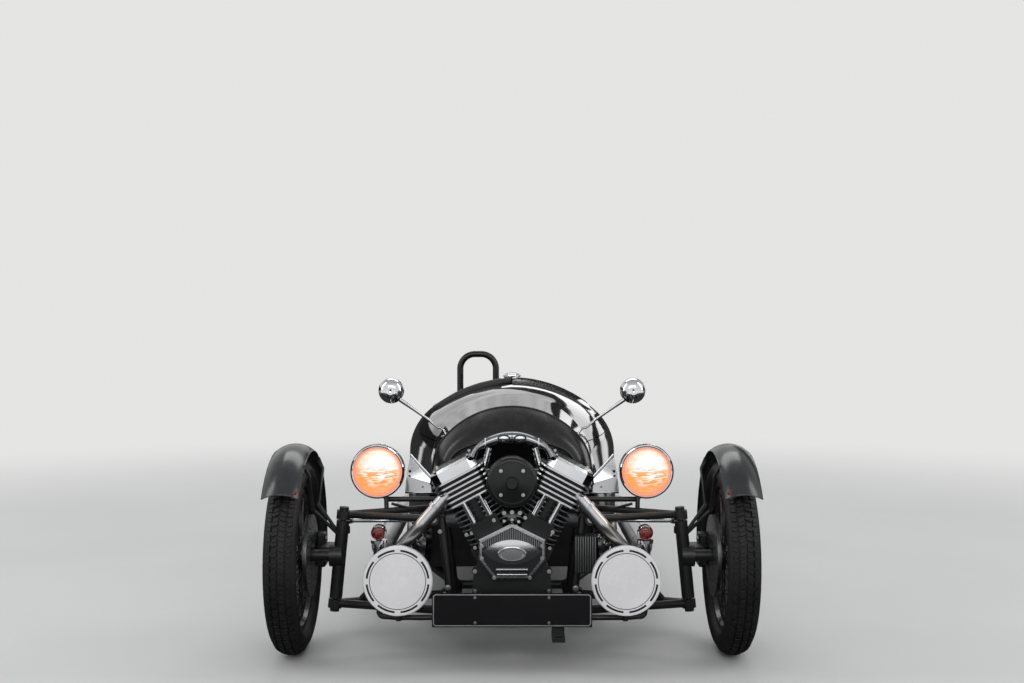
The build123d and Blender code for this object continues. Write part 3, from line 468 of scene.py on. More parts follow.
dialFace = Finish("dialCream", "black_paint", (0.70, 0.67, 0.58), (0.62, 0.59, 0.50), (0.35, 0.45), dust=0.0)
threadGrey = Finish("threadGrey", "trim_leather", (0.18, 0.17, 0.16), None, (0.6, 0.7), dust=0.0)


def makeCamFinish():  # polished rim, lens and ribs; the sunk floor between them is darkened to near-black as painted shade, and the ribs' crests there are lightened as a painted highlight
    g = Finish("camCoverPolished", "polished_aluminium", **polish)
    across, along, lift = g.axes(g.here)
    depth = g.spread(along, frontAxleY - 0.2420, frontAxleY - 0.2412)
    # painted shade: the recess floor facing ahead is made near-black and not metallic
    recessShade = g.times(depth, g.spread(g.axes(g.normal)[1], -0.6, -0.85))
    ribs = g.math("SINE", g.times(across, 1050.0))
    # painted highlight: the rib crests high in the recess are lighter; the same mask also gives real rib relief in the
    # bump
    crestHighlightAndRelief = g.times(g.times(recessShade, g.spread(ribs, 0.3, 0.9)), g.spread(lift, 0.404, 0.410))
    dark = g.mix(recessShade, g.base, (0.02, 0.021, 0.022))
    g.colour(g.mix(g.times(crestHighlightAndRelief, 0.5), dark, (0.55, 0.56, 0.57)))
    g.height(g.plus(crestHighlightAndRelief, g.fine), 0.15)
    g.metallic(g.minus(1.0, recessShade))
    return g


def finEdges(g, reach):  # 1 on the rims of fins, one cylinder each side; reach: how far out of the cylinder's line
    mask = None
    for side in (1, -1):
        line = (math.sin(cylinderLean * side), 0, math.cos(cylinderLean * side))
        across = (line[2], 0, -line[0])
        away = g.vector("SUBTRACT", g.here, tuple(at(*cylinderFoot)))
        flat = g.math("ABSOLUTE", g.vector("DOT_PRODUCT", g.normal, line))
        here = g.math("GREATER_THAN", g.axes(g.here)[0], 0.0)
        if side < 0:
            here = g.minus(1.0, here)
        edge = g.times(g.times(reach(away, line, across), g.spread(flat, 0.5, 0.3)), here)
        mask = edge if mask is None else g.plus(mask, edge)
    return mask


def makeHeadFinish():  # black heads with bright machined fin edges
    g = Finish("headFinnedBlack", "black_engine", (0.010, 0.011, 0.011), (0.016, 0.017, 0.017), (0.35, 0.5),
               grain=(900, 0.15), dust=0.04)

    def squareReach(away, line, across):
        u, v = [g.math("ABSOLUTE", g.vector("DOT_PRODUCT", away, way)) for way in (across, (0, 1, 0))]
        return g.spread(g.math("MAXIMUM", u, v), 0.0785, 0.0795)

    mask = finEdges(g, squareReach)
    g.colour(g.mix(mask, g.base, (0.78, 0.79, 0.80)))
    g.metallic(mask)
    g.put(g.shader.inputs["Roughness"], g.minus(g.rough, g.times(mask, 0.2)))
    return g


def makeBarrelFinish():  # barrels: the fins' rims catch the light
    g = Finish("barrelFinnedBlack", "black_engine", (0.009, 0.010, 0.010), (0.015, 0.016, 0.016), (0.35, 0.5),
               grain=(900, 0.15), dust=0.04)

    def roundReach(away, line, across):
        along = g.vector("SCALE", line, scale=g.vector("DOT_PRODUCT", away, line))
        return g.spread(g.vector("LENGTH", g.vector("SUBTRACT", away, along)), 0.0745, 0.0755)

    mask = g.times(finEdges(g, roundReach), 0.8)
    g.colour(g.mix(mask, g.base, (0.50, 0.51, 0.52)))
    g.metallic(mask)
    return g


def makeCoverFinish():  # spot lamps: white cover in front, black shell behind
    g = Finish("coverWhite", "white_cover", (0.86, 0.85, 0.86), (0.81, 0.80, 0.81), (0.22, 0.32), grain=(900, 0.03),
               dust=0.0)
    behind = g.spread(g.axes(g.here)[1], frontAxleY - 0.1965, frontAxleY - 0.1955)
    g.colour(g.mix(behind, g.base, (0.010, 0.010, 0.011)))
    return g


def makeLensFinish(name, x):  # lit headlamp: fluted glass, white-hot in the middle, orange low down and at the rim
    g = Finish(name, "lamp_glass", (0.9, 0.55, 0.35), None, (0.08, 0.12), dust=0.0, coat=0.6)
    here = g.moved(at(x, 60, 617))
    across, _, lift = g.axes(here)
    out = g.vector("LENGTH", g.vector("MULTIPLY", here, (1, 0, 1)))
    core = g.vector("LENGTH", g.vector("MULTIPLY", g.vector("SUBTRACT", here, (0.008, 0, 0.016)), (1, 0, 1.1)))
    patchy = g.noise(g.vector("MULTIPLY", here, (1, 0, 2.6)), 38.0)
    heat = g.plus(core, g.times(g.minus(patchy, 0.5), 0.06))
    glow = g.ramp(g.times(heat, 10.0), [(0.0, (1.0, 1.0, 1.0)), (0.42, (1.0, 0.98, 0.94)), (0.62, (1.0, 0.78, 0.60)),
                                        (0.84, (0.92, 0.42, 0.26))])
    ridges = g.noise(g.vector("MULTIPLY", here, (0.45, 0, 2.2)), 62.0, 2.0)
    band = g.times(g.spread(lift, 0.030, -0.012), g.spread(ridges, 0.42, 0.56))
    glow = g.mix(g.times(band, g.spread(out, 0.082, 0.066)), glow, (1.0, 0.36, 0.07))
    glow = g.mix(g.times(g.spread(lift, -0.035, -0.075), 0.65), glow, (1.0, 0.42, 0.16))
    glow = g.mix(g.spread(out, 0.070, 0.084), glow, (0.90, 0.30, 0.18))
    g.glow(glow, 1.0)
    g.colour(g.mix(0.9, glow, (0.05, 0.03, 0.02)))
    flutes = g.math("SINE", g.times(across, 900.0))
    g.height(g.plus(flutes, ridges), 0.25)
    return g


def makeRedFinish():  # red lamp glass with a fine diamond pattern and a faint painted glow
    g = Finish("lampGlassRed", "amber_lens", (0.23, 0.012, 0.006), (0.16, 0.008, 0.005), (0.1, 0.16), dust=0.0, coat=0.6)
    cells = g.add("ShaderNodeTexVoronoi", {"Scale": 190, "Vector": g.here}).outputs[0]
    g.height(cells, 0.8, 0.002)
    tint = g.ramp(cells, [(0.0, (0.34, 0.025, 0.012)), (0.7, (0.05, 0.003, 0.002))])
    g.colour(tint)
    # painted light: the red glass glows faintly, the unlit indicators and the mudguard reflectors too
    g.glow(tint, 0.10)
    return g


def makeLeather(name, base, drift):
    g = Finish(name, "trim_leather", base, drift, (0.42, 0.56), grain=(500, 0.2), dust=0.03, driftScale=14)
    wobble = g.vector("SCALE", g.noise(g.here, 60.0), scale=0.004)
    inputs = {"Scale": 420, "Vector": g.vector("ADD", g.here, wobble)}
    pore = g.spread(g.add("ShaderNodeTexVoronoi", inputs, feature="DISTANCE_TO_EDGE").outputs[0], 0.0, 0.12)
    creases = g.spread(g.noise(g.here, 24.0, 8.0), 0.35, 0.65)
    g.height(g.plus(pore, g.times(creases, 0.8)), 0.35, 0.0006)
    return g


def makeExhaustFinish():  # brushed pipe, straw and blue tint near the heads
    g = Finish("exhaustSteel", "steel", (0.74, 0.74, 0.74), (0.64, 0.64, 0.65), (0.24, 0.36), metal=1.0,
               grain=(500, 0.05), dust=0.05)
    away = g.vector("SUBTRACT", g.here, tuple(at(0, -120, 600)))
    near = g.vector("LENGTH", g.vector("MULTIPLY", away, (1, 0.6, 1)))
    tint = g.ramp(g.spread(near, 0.24, 0.55), [(0.0, (0.68, 0.66, 0.72)), (0.25, (0.86, 0.80, 0.68)),
                                               (0.6, (1.0, 1.0, 1.0))])
    g.colour(g.mix(0.5, g.base, tint, "MULTIPLY"))
    return g


def makeDiscFinish():  # swept brake disc: fine rings round the axle
    g = Finish("discSwept", "steel", (0.46, 0.47, 0.48), (0.34, 0.35, 0.36), (0.24, 0.34), metal=1.0, dust=0.0)
    out = g.vector("LENGTH", g.vector("MULTIPLY", g.moved(at(0, 0, 335)), (0, 1, 1)))
    rings = g.math("SINE", g.times(out, 5200.0))
    g.height(g.plus(rings, g.times(g.fine, 0.6)), 0.12, 0.0003)
    return g


def makeRockerFinish():  # polished covers with painted reflection by facing: greyer on the inner corner and dark on the outer one
    g = Finish("rockerPolished", "polished_aluminium", **polish)
    facing = g.axes(g.normal)
    outward = g.times(g.times(g.math("SIGN", g.axes(g.here)[0]), facing[0]), math.cos(cylinderLean))
    outward = g.minus(outward, g.times(facing[2], math.sin(cylinderLean)))
    # painted reflection: facets turned inward are greyed, facets turned outward are darkened
    grey = g.mix(g.spread(outward, -0.5, -0.65), g.base, (0.42, 0.43, 0.44))
    g.colour(g.mix(g.spread(outward, 0.5, 0.65), grey, (0.09, 0.09, 0.10)))
    return g


def makeSteeringFinish():  # leather ring, brushed spokes and boss
    g = makeLeather("steeringWheel", *leather)
    bare = g.spread(g.vector("DISTANCE", g.here, tuple(at(-168, 1130, 690))), 0.123, 0.121)
    g.colour(g.mix(bare, g.base, (0.42, 0.43, 0.44)))
    g.metallic(bare)
    return g


lensFinish = {label: makeLensFinish("headlampGlass" + label, sign * 470) for label, sign in sides}
redGlass, coverWhite, discSwept = makeRedFinish(), makeCoverFinish(), makeDiscFinish()
leatherBlack = makeLeather("leatherBlack", *leather)
leatherSeat = makeLeather("leatherSeat", (0.060, 0.030, 0.018), (0.085, 0.042, 0.025))

finishNodes = (
    (paintBlack, ("dashboard", "headlamps", "passenger_cover", "rear_deck", "scuttle", "side_panel_l", "side_panel_r",
                  "tail")),
    (cowlBlack, ("nose_cowl", "roll_hoop")),
    (guardPaint, ("front_mudguard_l", "front_mudguard_r")),
    (framePaint, ("chassis", "front_frame", "front_knuckle_l", "front_knuckle_r", "lamp_brackets", "rear_hoop",
                  "swing_arm", "wishbones")),
    (wheelBlack, ("rear_wheel",)), (engineBlack, ("crankcase", "oil_cooler")), (domeBlack, ("air_cleaner",)),
    (polished, ("arch_bracket", "pushrod_tubes", "side_fairings", "steering_rack")),
    (castMetal, ("gearbox", "rack_housing")),
    (chrome, ("filler_cap", "mirrors", "indicators", "tail_lamps")), (boardBlack, ("number_plate",)),
    (carpet, ("floor_pan",)),
    (belt, ("drive_belt",)), (makeCamFinish(), ("cam_cover",)), (makeHeadFinish(), ("cylinder_heads",)),
    (makeBarrelFinish(), ("cylinders",)), (makeRockerFinish(), ("rocker_covers",)), (makeExhaustFinish(), ("exhausts",)),
    (coverWhite, ("spot_lamps",)), (makeSteeringFinish(), ("steering_wheel",)),
    (discSwept, ("front_disc_l", "front_disc_r")),
)
for finish, labels in finishNodes:
    for label in labels:
        materials = nodes[label].data.materials
        for i in range(len(materials)):
            materials[i] = finish.material
        if not materials:
            materials.append(finish.material)
print("materials made")

# Camera, floor and lights
view = {"height": 1.153, "back": 4.4, "pitch": 1.05, "lens": 45, "clip": 0.05}


def stand(name, data, place, turn):
    holder = bpy.data.objects.new(name, data)
    holder.location, holder.rotation_euler = place, turn
    scene.collection.objects.link(holder)
    return holder


cameraData = bpy.data.cameras.new("camera")
cameraData.lens, cameraData.clip_start = view["lens"], view["clip"]
scene.camera = stand("camera", cameraData, (0, frontAxleY - view["back"], view["height"]),
                     (math.radians(90 - view["pitch"]), 0, 0))

# Pale floor; paint and chrome mirror it dark close to the car and behind it, and pale in front
floorSizes = {"nearEdge": 3.0, "farEdge": 6.0, "fadeFrom": 1.8, "fadeTo": 7.0, "reach": 60}
backdropTone = (0.78, 0.78, 0.775)
g = Finish("floorPale", None, (0.68, 0.68, 0.67), (0.65, 0.65, 0.64), (0.6, 0.75), dust=0.0, driftScale=0.8,
           grain=(120, 0.01))
away = g.vector("LENGTH", g.here)
aside, behind, _ = g.axes(g.moved((0.3, -0.9, 0)))
bearing = g.math("DIVIDE", g.math("ARCTAN2", aside, behind), math.pi / 2)
# how brightly the floor shows behind the car, by bearing in quarter turns either side of straight back
stripes = g.ramp(g.math("MULTIPLY_ADD", bearing, 0.5, 0.5), [
    (0.0, 0.5), (0.25, 0.10), (0.345, 0.03), (0.35, 0.8), (0.36, 0.8), (0.365, 0.03), (0.595, 0.03), (0.60, 0.9), (0.63,
            0.9),
    (0.635, 0.03), (0.655, 0.03), (0.66, 0.9), (0.69, 0.9), (0.695, 0.04), (0.78, 0.10), (1.0, 0.5)])
mirrorTint = g.mix(g.spread(g.axes(g.here)[1], 0.5, -1.5), stripes, (0.85, 0.85, 0.86))
nearness = g.spread(away, floorSizes["nearEdge"], floorSizes["farEdge"])
mirrorTint = g.mix(nearness, (0.035, 0.035, 0.035), mirrorTint)
ray = g.add("ShaderNodeLightPath").outputs
glow = g.add("ShaderNodeEmission", {"Color": g.mix(ray["Is Glossy Ray"], backdropTone, mirrorTint)})
faded = g.times(ray["Is Camera Ray"], g.spread(away, floorSizes["fadeFrom"], floorSizes["fadeTo"]))
share = g.math("MAXIMUM", ray["Is Glossy Ray"], faded)
fade = g.add("ShaderNodeMixShader", {0: share, 1: g.shader.outputs[0], 2: glow.outputs[0]})
g.put(g.tree.nodes["Material Output"].inputs["Surface"], fade.outputs[0])
bm = bmesh.new()
bmesh.ops.create_grid(bm, x_segments=1, y_segments=1, size=floorSizes["reach"])
floor = fromBm("floor", bm)
floor.data.materials.append(g.material)
floor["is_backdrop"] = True

scene.world = bpy.data.worlds.new("studio")
scene.world.use_nodes = True
g = Graph(scene.world.node_tree)
way = g.add("ShaderNodeTexCoord").outputs["Generated"]
aside, behind, lift = g.axes(way)
inFront = g.math("LESS_THAN", behind, 0.0)
lift = g.times(g.math("ARCSINE", lift), 180 / math.pi)
bearing = g.times(g.math("ARCTAN2", aside, behind), 180 / math.pi)
cloud = g.spread(g.noise(g.vector("MULTIPLY", way, (1, 1, 2.5)), 7.0, 4.0), 0.35, 0.65, 0.62, 1.0)
# softboxes behind the car as its paint mirrors them: a row is the tone above an edge, and the edge's height at each
# bearing, all in degrees; on the left the edges are one
edgeLow, edgeSpan = -12.0, 42.0
leftEdge = [(-90, 14), (-40, 11), (-28, 8.5), (-13, 4), (-9, 2.2), (-7, 3), (-3, 6)]
edgeRows = [
    (1.3, [(0, -12), (4.5, -12), (5, -2), (11, 3), (15, 1), (16, -2), (18, -6), (90, -10)]),
    (0.02, [(0, -11), (4.5, -11), (5, 0.7), (7, 1.5), (11, 4), (19, 5), (24, 1.5), (25, -4), (90, -8)]),
    (1.5, [(0, 2.2), (4.5, 2.2), (5, 2.2), (7, 2.6), (8.5, 3.2), (13.5, 6.5), (18, 9), (22, 8.5), (28, 7.5), (30, 5),
           (31.5, -2),
           (33, -5), (90, -8)]),
    (0.03, [(0, 4.6), (5, 5), (9.3, 8.5), (14, 12), (18.5, 13), (31, 14), (40, 14), (45, -2), (90, -6)]),
    (g.times(cloud, 0.95), [(0, 8.5), (4, 11), (9, 11), (11.5, 13), (13, 25), (22, 30), (40, 30), (60, 18), (90, 14)]),
]


def laidOver(below, mask, above):
    return g.plus(g.times(below, g.minus(1.0, mask)), g.times(mask, above))


tone = 0.02
place = g.math("MULTIPLY_ADD", bearing, 1 / 180, 0.5)
for level, stops in edgeRows:
    edge = g.ramp(place, [(k / 180 + 0.5, (high - edgeLow) / edgeSpan) for k, high in leftEdge + stops])
    above = g.minus(lift, g.math("MULTIPLY_ADD", edge, edgeSpan, edgeLow))
    tone = laidOver(tone, g.spread(above, -0.25, 0.25), level)
tone = g.times(tone, g.spread(lift, 24, 50, 1.0, 0.55))
ahead = g.times(g.spread(lift, 0.5, 3.0, 0.85, 0.9), g.spread(lift, 30, 60, 1.0, 0.6))
ray = g.add("ShaderNodeLightPath").outputs
plain = g.tree.nodes["Background"]
g.put(plain.inputs["Color"], (0.72, 0.73, 0.75, 1))
g.put(plain.inputs["Strength"], 0.80)
mirrored = g.add("ShaderNodeBackground", {"Strength": laidOver(tone, inFront, ahead)})
backdrop = g.add("ShaderNodeBackground", {"Color": (*backdropTone, 1)})
seen = g.math("MAXIMUM", ray["Is Camera Ray"], ray["Is Transmission Ray"])
choice = g.add("ShaderNodeMixShader", {0: ray["Is Glossy Ray"], 1: plain.outputs[0], 2: mirrored.outputs[0]})
choice = g.add("ShaderNodeMixShader", {0: seen, 1: choice.outputs[0], 2: backdrop.outputs[0]})
g.put(g.tree.nodes["World Output"].inputs[0], choice.outputs[0])

# columns: name, place, aimed at, width, height, power
lampRows = [
    ("softLeft", (4.6, -1.5, 3.4), (0, -0.6, 0.5), 1.2, 4.5, 50),
    ("softRight", (-4.6, -1.5, 3.4), (0, -0.6, 0.5), 1.2, 4.5, 50),
    ("softTop", (0, 2.4, 5.0), (0, 0.0, 0.6), 4.5, 2.0, 60),
    ("softFront", (0, -7.4, 3.4), (0, -1.2, 0.5), 5.0, 1.8, 80),
]
for name, place, target, width, height, power in lampRows:
    lamp = bpy.data.lights.new(name, "AREA")
    lamp.shape = "RECTANGLE"
    lamp.size, lamp.size_y, lamp.energy = width, height, power
    stand(name, lamp, place, (Vector(target) - Vector(place)).to_track_quat("-Z", "Y").to_euler())
print("camera and lights placed")


def mirroredLine(line):
    return [(-x, r) for x, r in reversed(line)]


def arcPoints(a, b, c, count):  # through three (x, r) points
    (ax, ay), (bx, by), (cx, cy) = a, b, c
    aa, bb, cc = [x ** 2 + y ** 2 for x, y in (a, b, c)]
    d = 2 * (ax * (by - cy) + bx * (cy - ay) + cx * (ay - by))
    ux = (aa * (by - cy) + bb * (cy - ay) + cc * (ay - by)) / d
    uy = (aa * (cx - bx) + bb * (ax - cx) + cc * (bx - ax)) / d
    r = math.hypot(ax - ux, ay - uy)
    t = [math.atan2(y - uy, x - ux) for x, y in (a, b, c)]
    for i in (1, 2):
        t[i] += 2 * math.pi * round((t[i - 1] - t[i]) / (2 * math.pi))
    turns = [t[0] + (t[2] - t[0]) * i / count for i in range(count + 1)]
    return [(ux + r * math.cos(a), uy + r * math.sin(a)) for a in turns]


# Tyres: carcass turned, tread blocks spun round it; a row is its middle, width and phase in steps
tyreSizes = {
    "front": {"radius": 335, "half": 54, "rim": 241, "rimHalf": 28, "treadHalf": 42, "drop": 16, "groove": 6.5,
              "blocks": 62,
              "rows": ((-33.5, 14.5, 0.0), (-11.5, 18, 0.5), (11.5, 18, 0.0), (33.5, 14.5, 0.5)), "gap": 0.74},
    "rear": {"radius": 311, "half": 97.5, "rim": 203, "rimHalf": 82, "treadHalf": 84, "drop": 10, "groove": 6,
             "blocks": 58,
             "rows": ((-73, 20, 0.0), (-44, 27, 0.5), (-13.5, 22, 0.0), (13.5, 22, 0.5), (44, 27, 0.0), (73, 20, 0.5)),
             "gap": 0.8},
}
blockSizes = {"across": (-1, -0.35, 0.35, 1), "along": (-1, -0.12, -0.06, 0.06, 0.12, 1), "slant": 2.2, "sipe": 2.2,
              "sipeAt": 0.06, "root": 1.5}
wheelMiddle = {label: at(sign * 750, 0, 335) for label, sign in sides}


def makeTyre(name, s, centre, body, node):  # the blocks stand on the carcass in rows
    lip = s["rim"] + 15
    crown = s["radius"] - s["groove"]
    edge = (s["treadHalf"], crown - s["drop"])
    right = arcPoints(edge, (s["half"], (lip + s["radius"]) / 2 - 4), (s["rimHalf"], lip), 14)
    top = arcPoints((-edge[0], edge[1]), (0, crown), edge, 12)
    inner = [(s["rimHalf"], s["rim"]), (s["rimHalf"] - 10, s["rim"]), (s["rimHalf"] - 9, lip + 3)]
    pieces = [lathe(name, mirroredLine(right) + top[1:-1] + right + inner + mirroredLine(inner), centre, steps=160)]
    halfLong = math.pi * s["radius"] / s["blocks"] * s["gap"]
    for row, (middle, width, phase) in enumerate(s["rows"]):
        slant, cutAt = blockSizes["slant"] * (1 if row % 2 else -1), blockSizes["sipeAt"]
        bm = bmesh.new()
        grid = []
        for share in blockSizes["across"]:
            ring = []
            # the block's foot, sunk in the carcass, then its smaller top: depth, share of width and length, cut
            for depth, wide, long, sipe in ((s["groove"] + blockSizes["root"], 1.06, 1.0, 0),
                                            (0, 0.94, 0.95, blockSizes["sipe"])):
                for along in blockSizes["along"]:
                    x = middle + width / 2 * share * wide
                    r = s["radius"] - s["drop"] * (x / s["treadHalf"]) ** 2 - depth - (sipe if abs(along) == cutAt else 0)
                    a = (halfLong * along * long + slant * share) / s["radius"]
                    ring.append(bm.verts.new((x / 1000, r / 1000 * math.sin(a), r / 1000 * math.cos(a))))
            grid.append(ring)
        for a, b in zip(grid, grid[1:]):
            for i in range(6, 11):
                bm.faces.new((a[i], a[i + 1], b[i + 1], b[i]))
            bm.faces.new((a[0], a[6], b[6], b[0]))
            bm.faces.new((a[5], b[5], b[11], a[11]))
        for ring in (grid[0], grid[-1]):
            for corners in ((0, 1, 7, 6), (1, 4, 10, 9, 8, 7), (4, 5, 11, 10)):
                bm.faces.new([ring[i] for i in corners])
        pieces.append(spun(fromBm(name + "Block", bm, 30), tyreRubber, s["blocks"], centre, phase))
    whole = joined(name, pieces)
    whole.data.set_sharp_from_angle(angle=math.radians(32))
    settle(whole, tyreRubber, replaced=(node,), body=body)


for label, sign in sides:
    makeTyre("frontTyre" + label, tyreSizes["front"], wheelMiddle[label], "wheel_front_" + label.lower(),
             "front_tyre_" + label.lower())
makeTyre("rearTyre", tyreSizes["rear"], at(0, 2390, 311), "wheel_rear", "rear_tyre")
print("tyres made")

# Wire wheels: rim, hub, round spokes with nipples, hub nut; a row is hub x, hub radius, rim x, swing in degrees, phase
wheelSizes = {
    "rim": [(-32, 254), (-29, 256), (-27, 252), (-28, 242), (-16, 240), (-11, 230), (11, 230), (16, 240), (28, 242),
            (27, 252),
            (29, 256), (32, 254), (32, 238), (18, 234), (12, 224), (-12, 224), (-18, 234), (-32, 238)],
    "hub": [(-44, 20.4), (-44, 50), (-40, 52), (-24, 52), (-24, 56), (-18, 56), (-17, 36), (-6, 30), (20, 28), (55, 30),
            (59, 38),
            (60, 42), (66, 42), (67, 36), (70, 30), (82, 28), (86, 24), (88, 16), (88, 0), (34, 0), (34, 20.4)],
    "nut": [(66, 42.4), (69, 42.4), (69, 34), (84, 30), (88, 24), (88, 0), (80, 0)],
    "rows": ((63, 38, 7, 17, 0), (63, 38, 12, -17, 0.5), (-21, 52, -7, 20, 0.25), (-21, 52, -12, -20, 0.75)),
    "reach": 225, "spoke": 2.1, "spokes": 15, "nipple": 3.6, "nippleIn": 0.016, "nippleOut": 0.002,
}


def handed(sign, line):
    return [(sign * x, r) for x, r in line]


def makeWireWheel(label, sign):
    s, centre, body = wheelSizes, wheelMiddle[label], "wheel_front_" + label.lower()
    hub = lathe("hub", handed(sign, s["hub"]), centre, steps=64, closed=True)
    pieces = [lathe("rim", s["rim"], centre, steps=128), hub]
    for hubX, hubR, rimX, swing, phase in s["rows"]:
        far = math.radians(swing)
        foot = Vector((sign * hubX, 0, hubR)) / 1000
        tip = Vector((sign * rimX, s["reach"] * math.sin(far), s["reach"] * math.cos(far))) / 1000
        way = (tip - foot).normalized()
        nipple = [tip - way * s["nippleIn"], tip + way * s["nippleOut"]]
        one = joined("spoke", [tube("spoke", [foot, tip], s["spoke"], 8), tube("nipple", nipple, s["nipple"], 8)])
        one.data.shade_smooth()
        pieces.append(spun(one, wheelBlack, s["spokes"], centre, phase))
    settle(joined("wireWheel" + label, pieces), wheelBlack, replaced=("front_wheel_" + label.lower(),), body=body)
    settle(lathe("hubNut" + label, handed(sign, s["nut"]), centre, steps=8, smoothAngle=20), chrome, body=body)


for label, sign in sides:
    makeWireWheel(label, sign)
print("wire wheels made")

# Brake discs with drilled holes in three rings of a radius and a phase in steps
discSizes = {"line": [(-61.9, 52.5), (-61.9, 140), (-50.1, 140), (-50.1, 60.5), (-34.2, 60.5), (-34.2, 52.5)],
             "hole": [(-65, 0), (-65, 5), (-47, 5), (-47, 0)], "holes": 18,
             "rings": ((96, 0.0), (110, 0.33), (124, 0.66))}
for label, sign in sides:
    s = discSizes
    disc = lathe("frontDisc" + label, handed(sign, s["line"]), wheelMiddle[label])
    cutters = []
    for radius, phase in s["rings"]:
        drill = lathe("drill", handed(sign, s["hole"]), Vector((0, 0, radius / 1000)), steps=10)
        cutters.append(spun(drill, discSwept, s["holes"], wheelMiddle[label], phase))
    cutter = joined("drills", cutters)
    cut = disc.modifiers.new("cut", "BOOLEAN")
    cut.operation, cut.object, cut.solver = "DIFFERENCE", cutter, "EXACT"
    disc = applied(disc)
    bpy.data.objects.remove(cutter)
    disc.data.set_sharp_from_angle(angle=math.radians(35))
    settle(disc, discSwept, replaced=("front_disc_" + label.lower(),), body="wheel_front_" + label.lower())


# Lamps: rims and glass, a groove and arcs of slots on the white covers drawn as near-black strips of painted shade;
# mirrors and filler cap
def turned(name, finish, centre, outline, steps=96, axis="Y", slotName=None, replaced=()):
    return settle(lathe(name, outline, centre, axis, steps), finish, slotName, replaced)


lampSizes = {
    "rim": [(12, 84), (2, 84.6), (-1.6, 86.4), (-3.2, 89.4), (-2.0, 92.6), (2, 94.8), (12, 95), (22, 95.2), (27, 95.6),
            (27, 94),
            (14, 92), (12, 88)],
    "glass": 85.2, "bulge": 11.5,
    "groove": [(0.2, 90.8), (-0.35, 91.1), (-0.35, 93.0), (0.2, 93.3)],
    "slot": ((98.2, 0.3), (98.2, -0.4), (104.6, -0.4), (104.6, 0.3)), "slots": 8, "slotHalf": 17,
    "edge": [(3.5, 114.0), (1.6, 112.6), (0.6, 110.5), (1.2, 109.2), (0.4, 108.2), (3.6, 108.2)],
    "indicator": [(0.2, 22.2), (-3, 21), (-6, 17), (-8, 9), (-8.4, 0), (2, 0), (2, 22.2)],
    "post": [(-58, 14.4), (-58, 16), (-30, 18.5), (-14, 18), (-10, 20), (-4, 20), (-2, 16.5), (9, 16.5), (10, 27.2),
             (20.6, 27.2),
             (20.6, 8.8), (-58, 8.8)],
    "tail": [(58, 20), (62, 19), (64, 14), (65, 0), (57, 0)],
    "mirror": [(45.2, 45), (46.6, 45), (46.8, 0), (45.2, 0)], "stalk": 6.3, "taper": 0.45,
    "cap": [(-14, 34), (-8, 38.5), (-3, 40), (-1.5, 43), (3, 43), (4.5, 40.5), (6.5, 36)], "capDome": (11, 36),
}
for label, sign in sides:
    s = lampSizes
    lamp, front = at(sign * 470, 60, 617), at(sign * 375, -222, 290)
    turned("headlampRim" + label, chrome, lamp, s["rim"])
    glassLine = [(13, s["glass"]), (4, s["glass"])]
    glassLine += [(4 - s["bulge"] * math.sqrt(1 - (r / s["glass"]) ** 2), r) for r in (80, 70, 58, 44, 30, 16, 0)]
    glass = turned("headlampGlass" + label, lensFinish[label], lamp, glassLine)
    if label == "L":
        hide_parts("headlamp_lenses")
    # painted shade: the groove and the slots are thin near-black strips on the cover, not cut through
    turned("coverGroove" + label, slotDark, front, s["groove"], slotName="white_cover")
    bm = bmesh.new()
    strip = []
    for i in range(13):
        a = math.radians(s["slotHalf"] * (i / 6 - 1))
        strip.append([bm.verts.new((r / 1000 * math.sin(a), out / 1000, r / 1000 * math.cos(a))) for r, out in s["slot"]])
    quads(bm, zip(strip, strip[1:]))
    bm.faces.new(strip[0])
    bm.faces.new(strip[-1])
    slots = spun(fromBm("coverSlots" + label, bm), slotDark, s["slots"], front, 0.5, (0, 1, 0))
    settle(slots, slotDark, "white_cover")
    turned("coverEdge" + label, coverWhite, front, s["edge"])
    turned("indicatorGlass" + label, redGlass, at(sign * 443, -172, 441), s["indicator"], 40)
    turned("lampPost" + label, chrome, at(sign * 443, -150, 394), s["post"], 40, "Z")
    turned("tailGlass" + label, redGlass, at(sign * 156, 2752, 520), s["tail"], 40)
    root, head = at(sign * 392, 737, 784.3), at(sign * 478, 725.8, 845.7)
    stalk = [root + (head - root) * (k / 8) for k in range(9)]
    rings = [tube("stalk", [a, b + (b - a) * 0.02], s["stalk"] + s["taper"] * k, 16)
             for k, (a, b) in enumerate(zip(stalk, stalk[1:]))]
    settle(joined("mirrorStalk" + label, rings), chrome)
    turned("mirrorGlass" + label, chrome, at(sign * 484, 700, 862), s["mirror"], 48)
rise, radius = s["capDome"]
dome = [(6.5 + rise * math.sin(math.radians(a)), radius * math.cos(math.radians(a))) for a in (15, 30, 45, 60, 75, 90)]
turned("fillerCap", chrome, at(0, 1800, 872), s["cap"] + dome + [(-14, 0)], 64, "Z", replaced=("filler_cap",))
print("lamps made")

# Bolts with washers, by the body that they ride on
bolts = {"body": []}


def bolt(body, place, facing, radius):
    bolts.setdefault(body, []).append((place, Vector(facing).normalized(), radius / 1000))


def tilted(side, u, v, w):  # across, along the car and up the barrel, in the car's own directions
    lean = cylinderLean * side
    return u * math.cos(lean) + w * math.sin(lean), v, w * math.cos(lean) - u * math.sin(lean)


def cylinderPoint(side, u, v, w):  # in millimetres from the barrels' foot
    return at(*[a + b for a, b in zip(tilted(side, u, v, w), cylinderFoot)])


for i in range(12):
    a = math.radians(i * 30 + 15)
    bolt("body", at(126 * math.cos(a), -219, 290 + 126 * math.sin(a)), (0, -1, 0), 5)
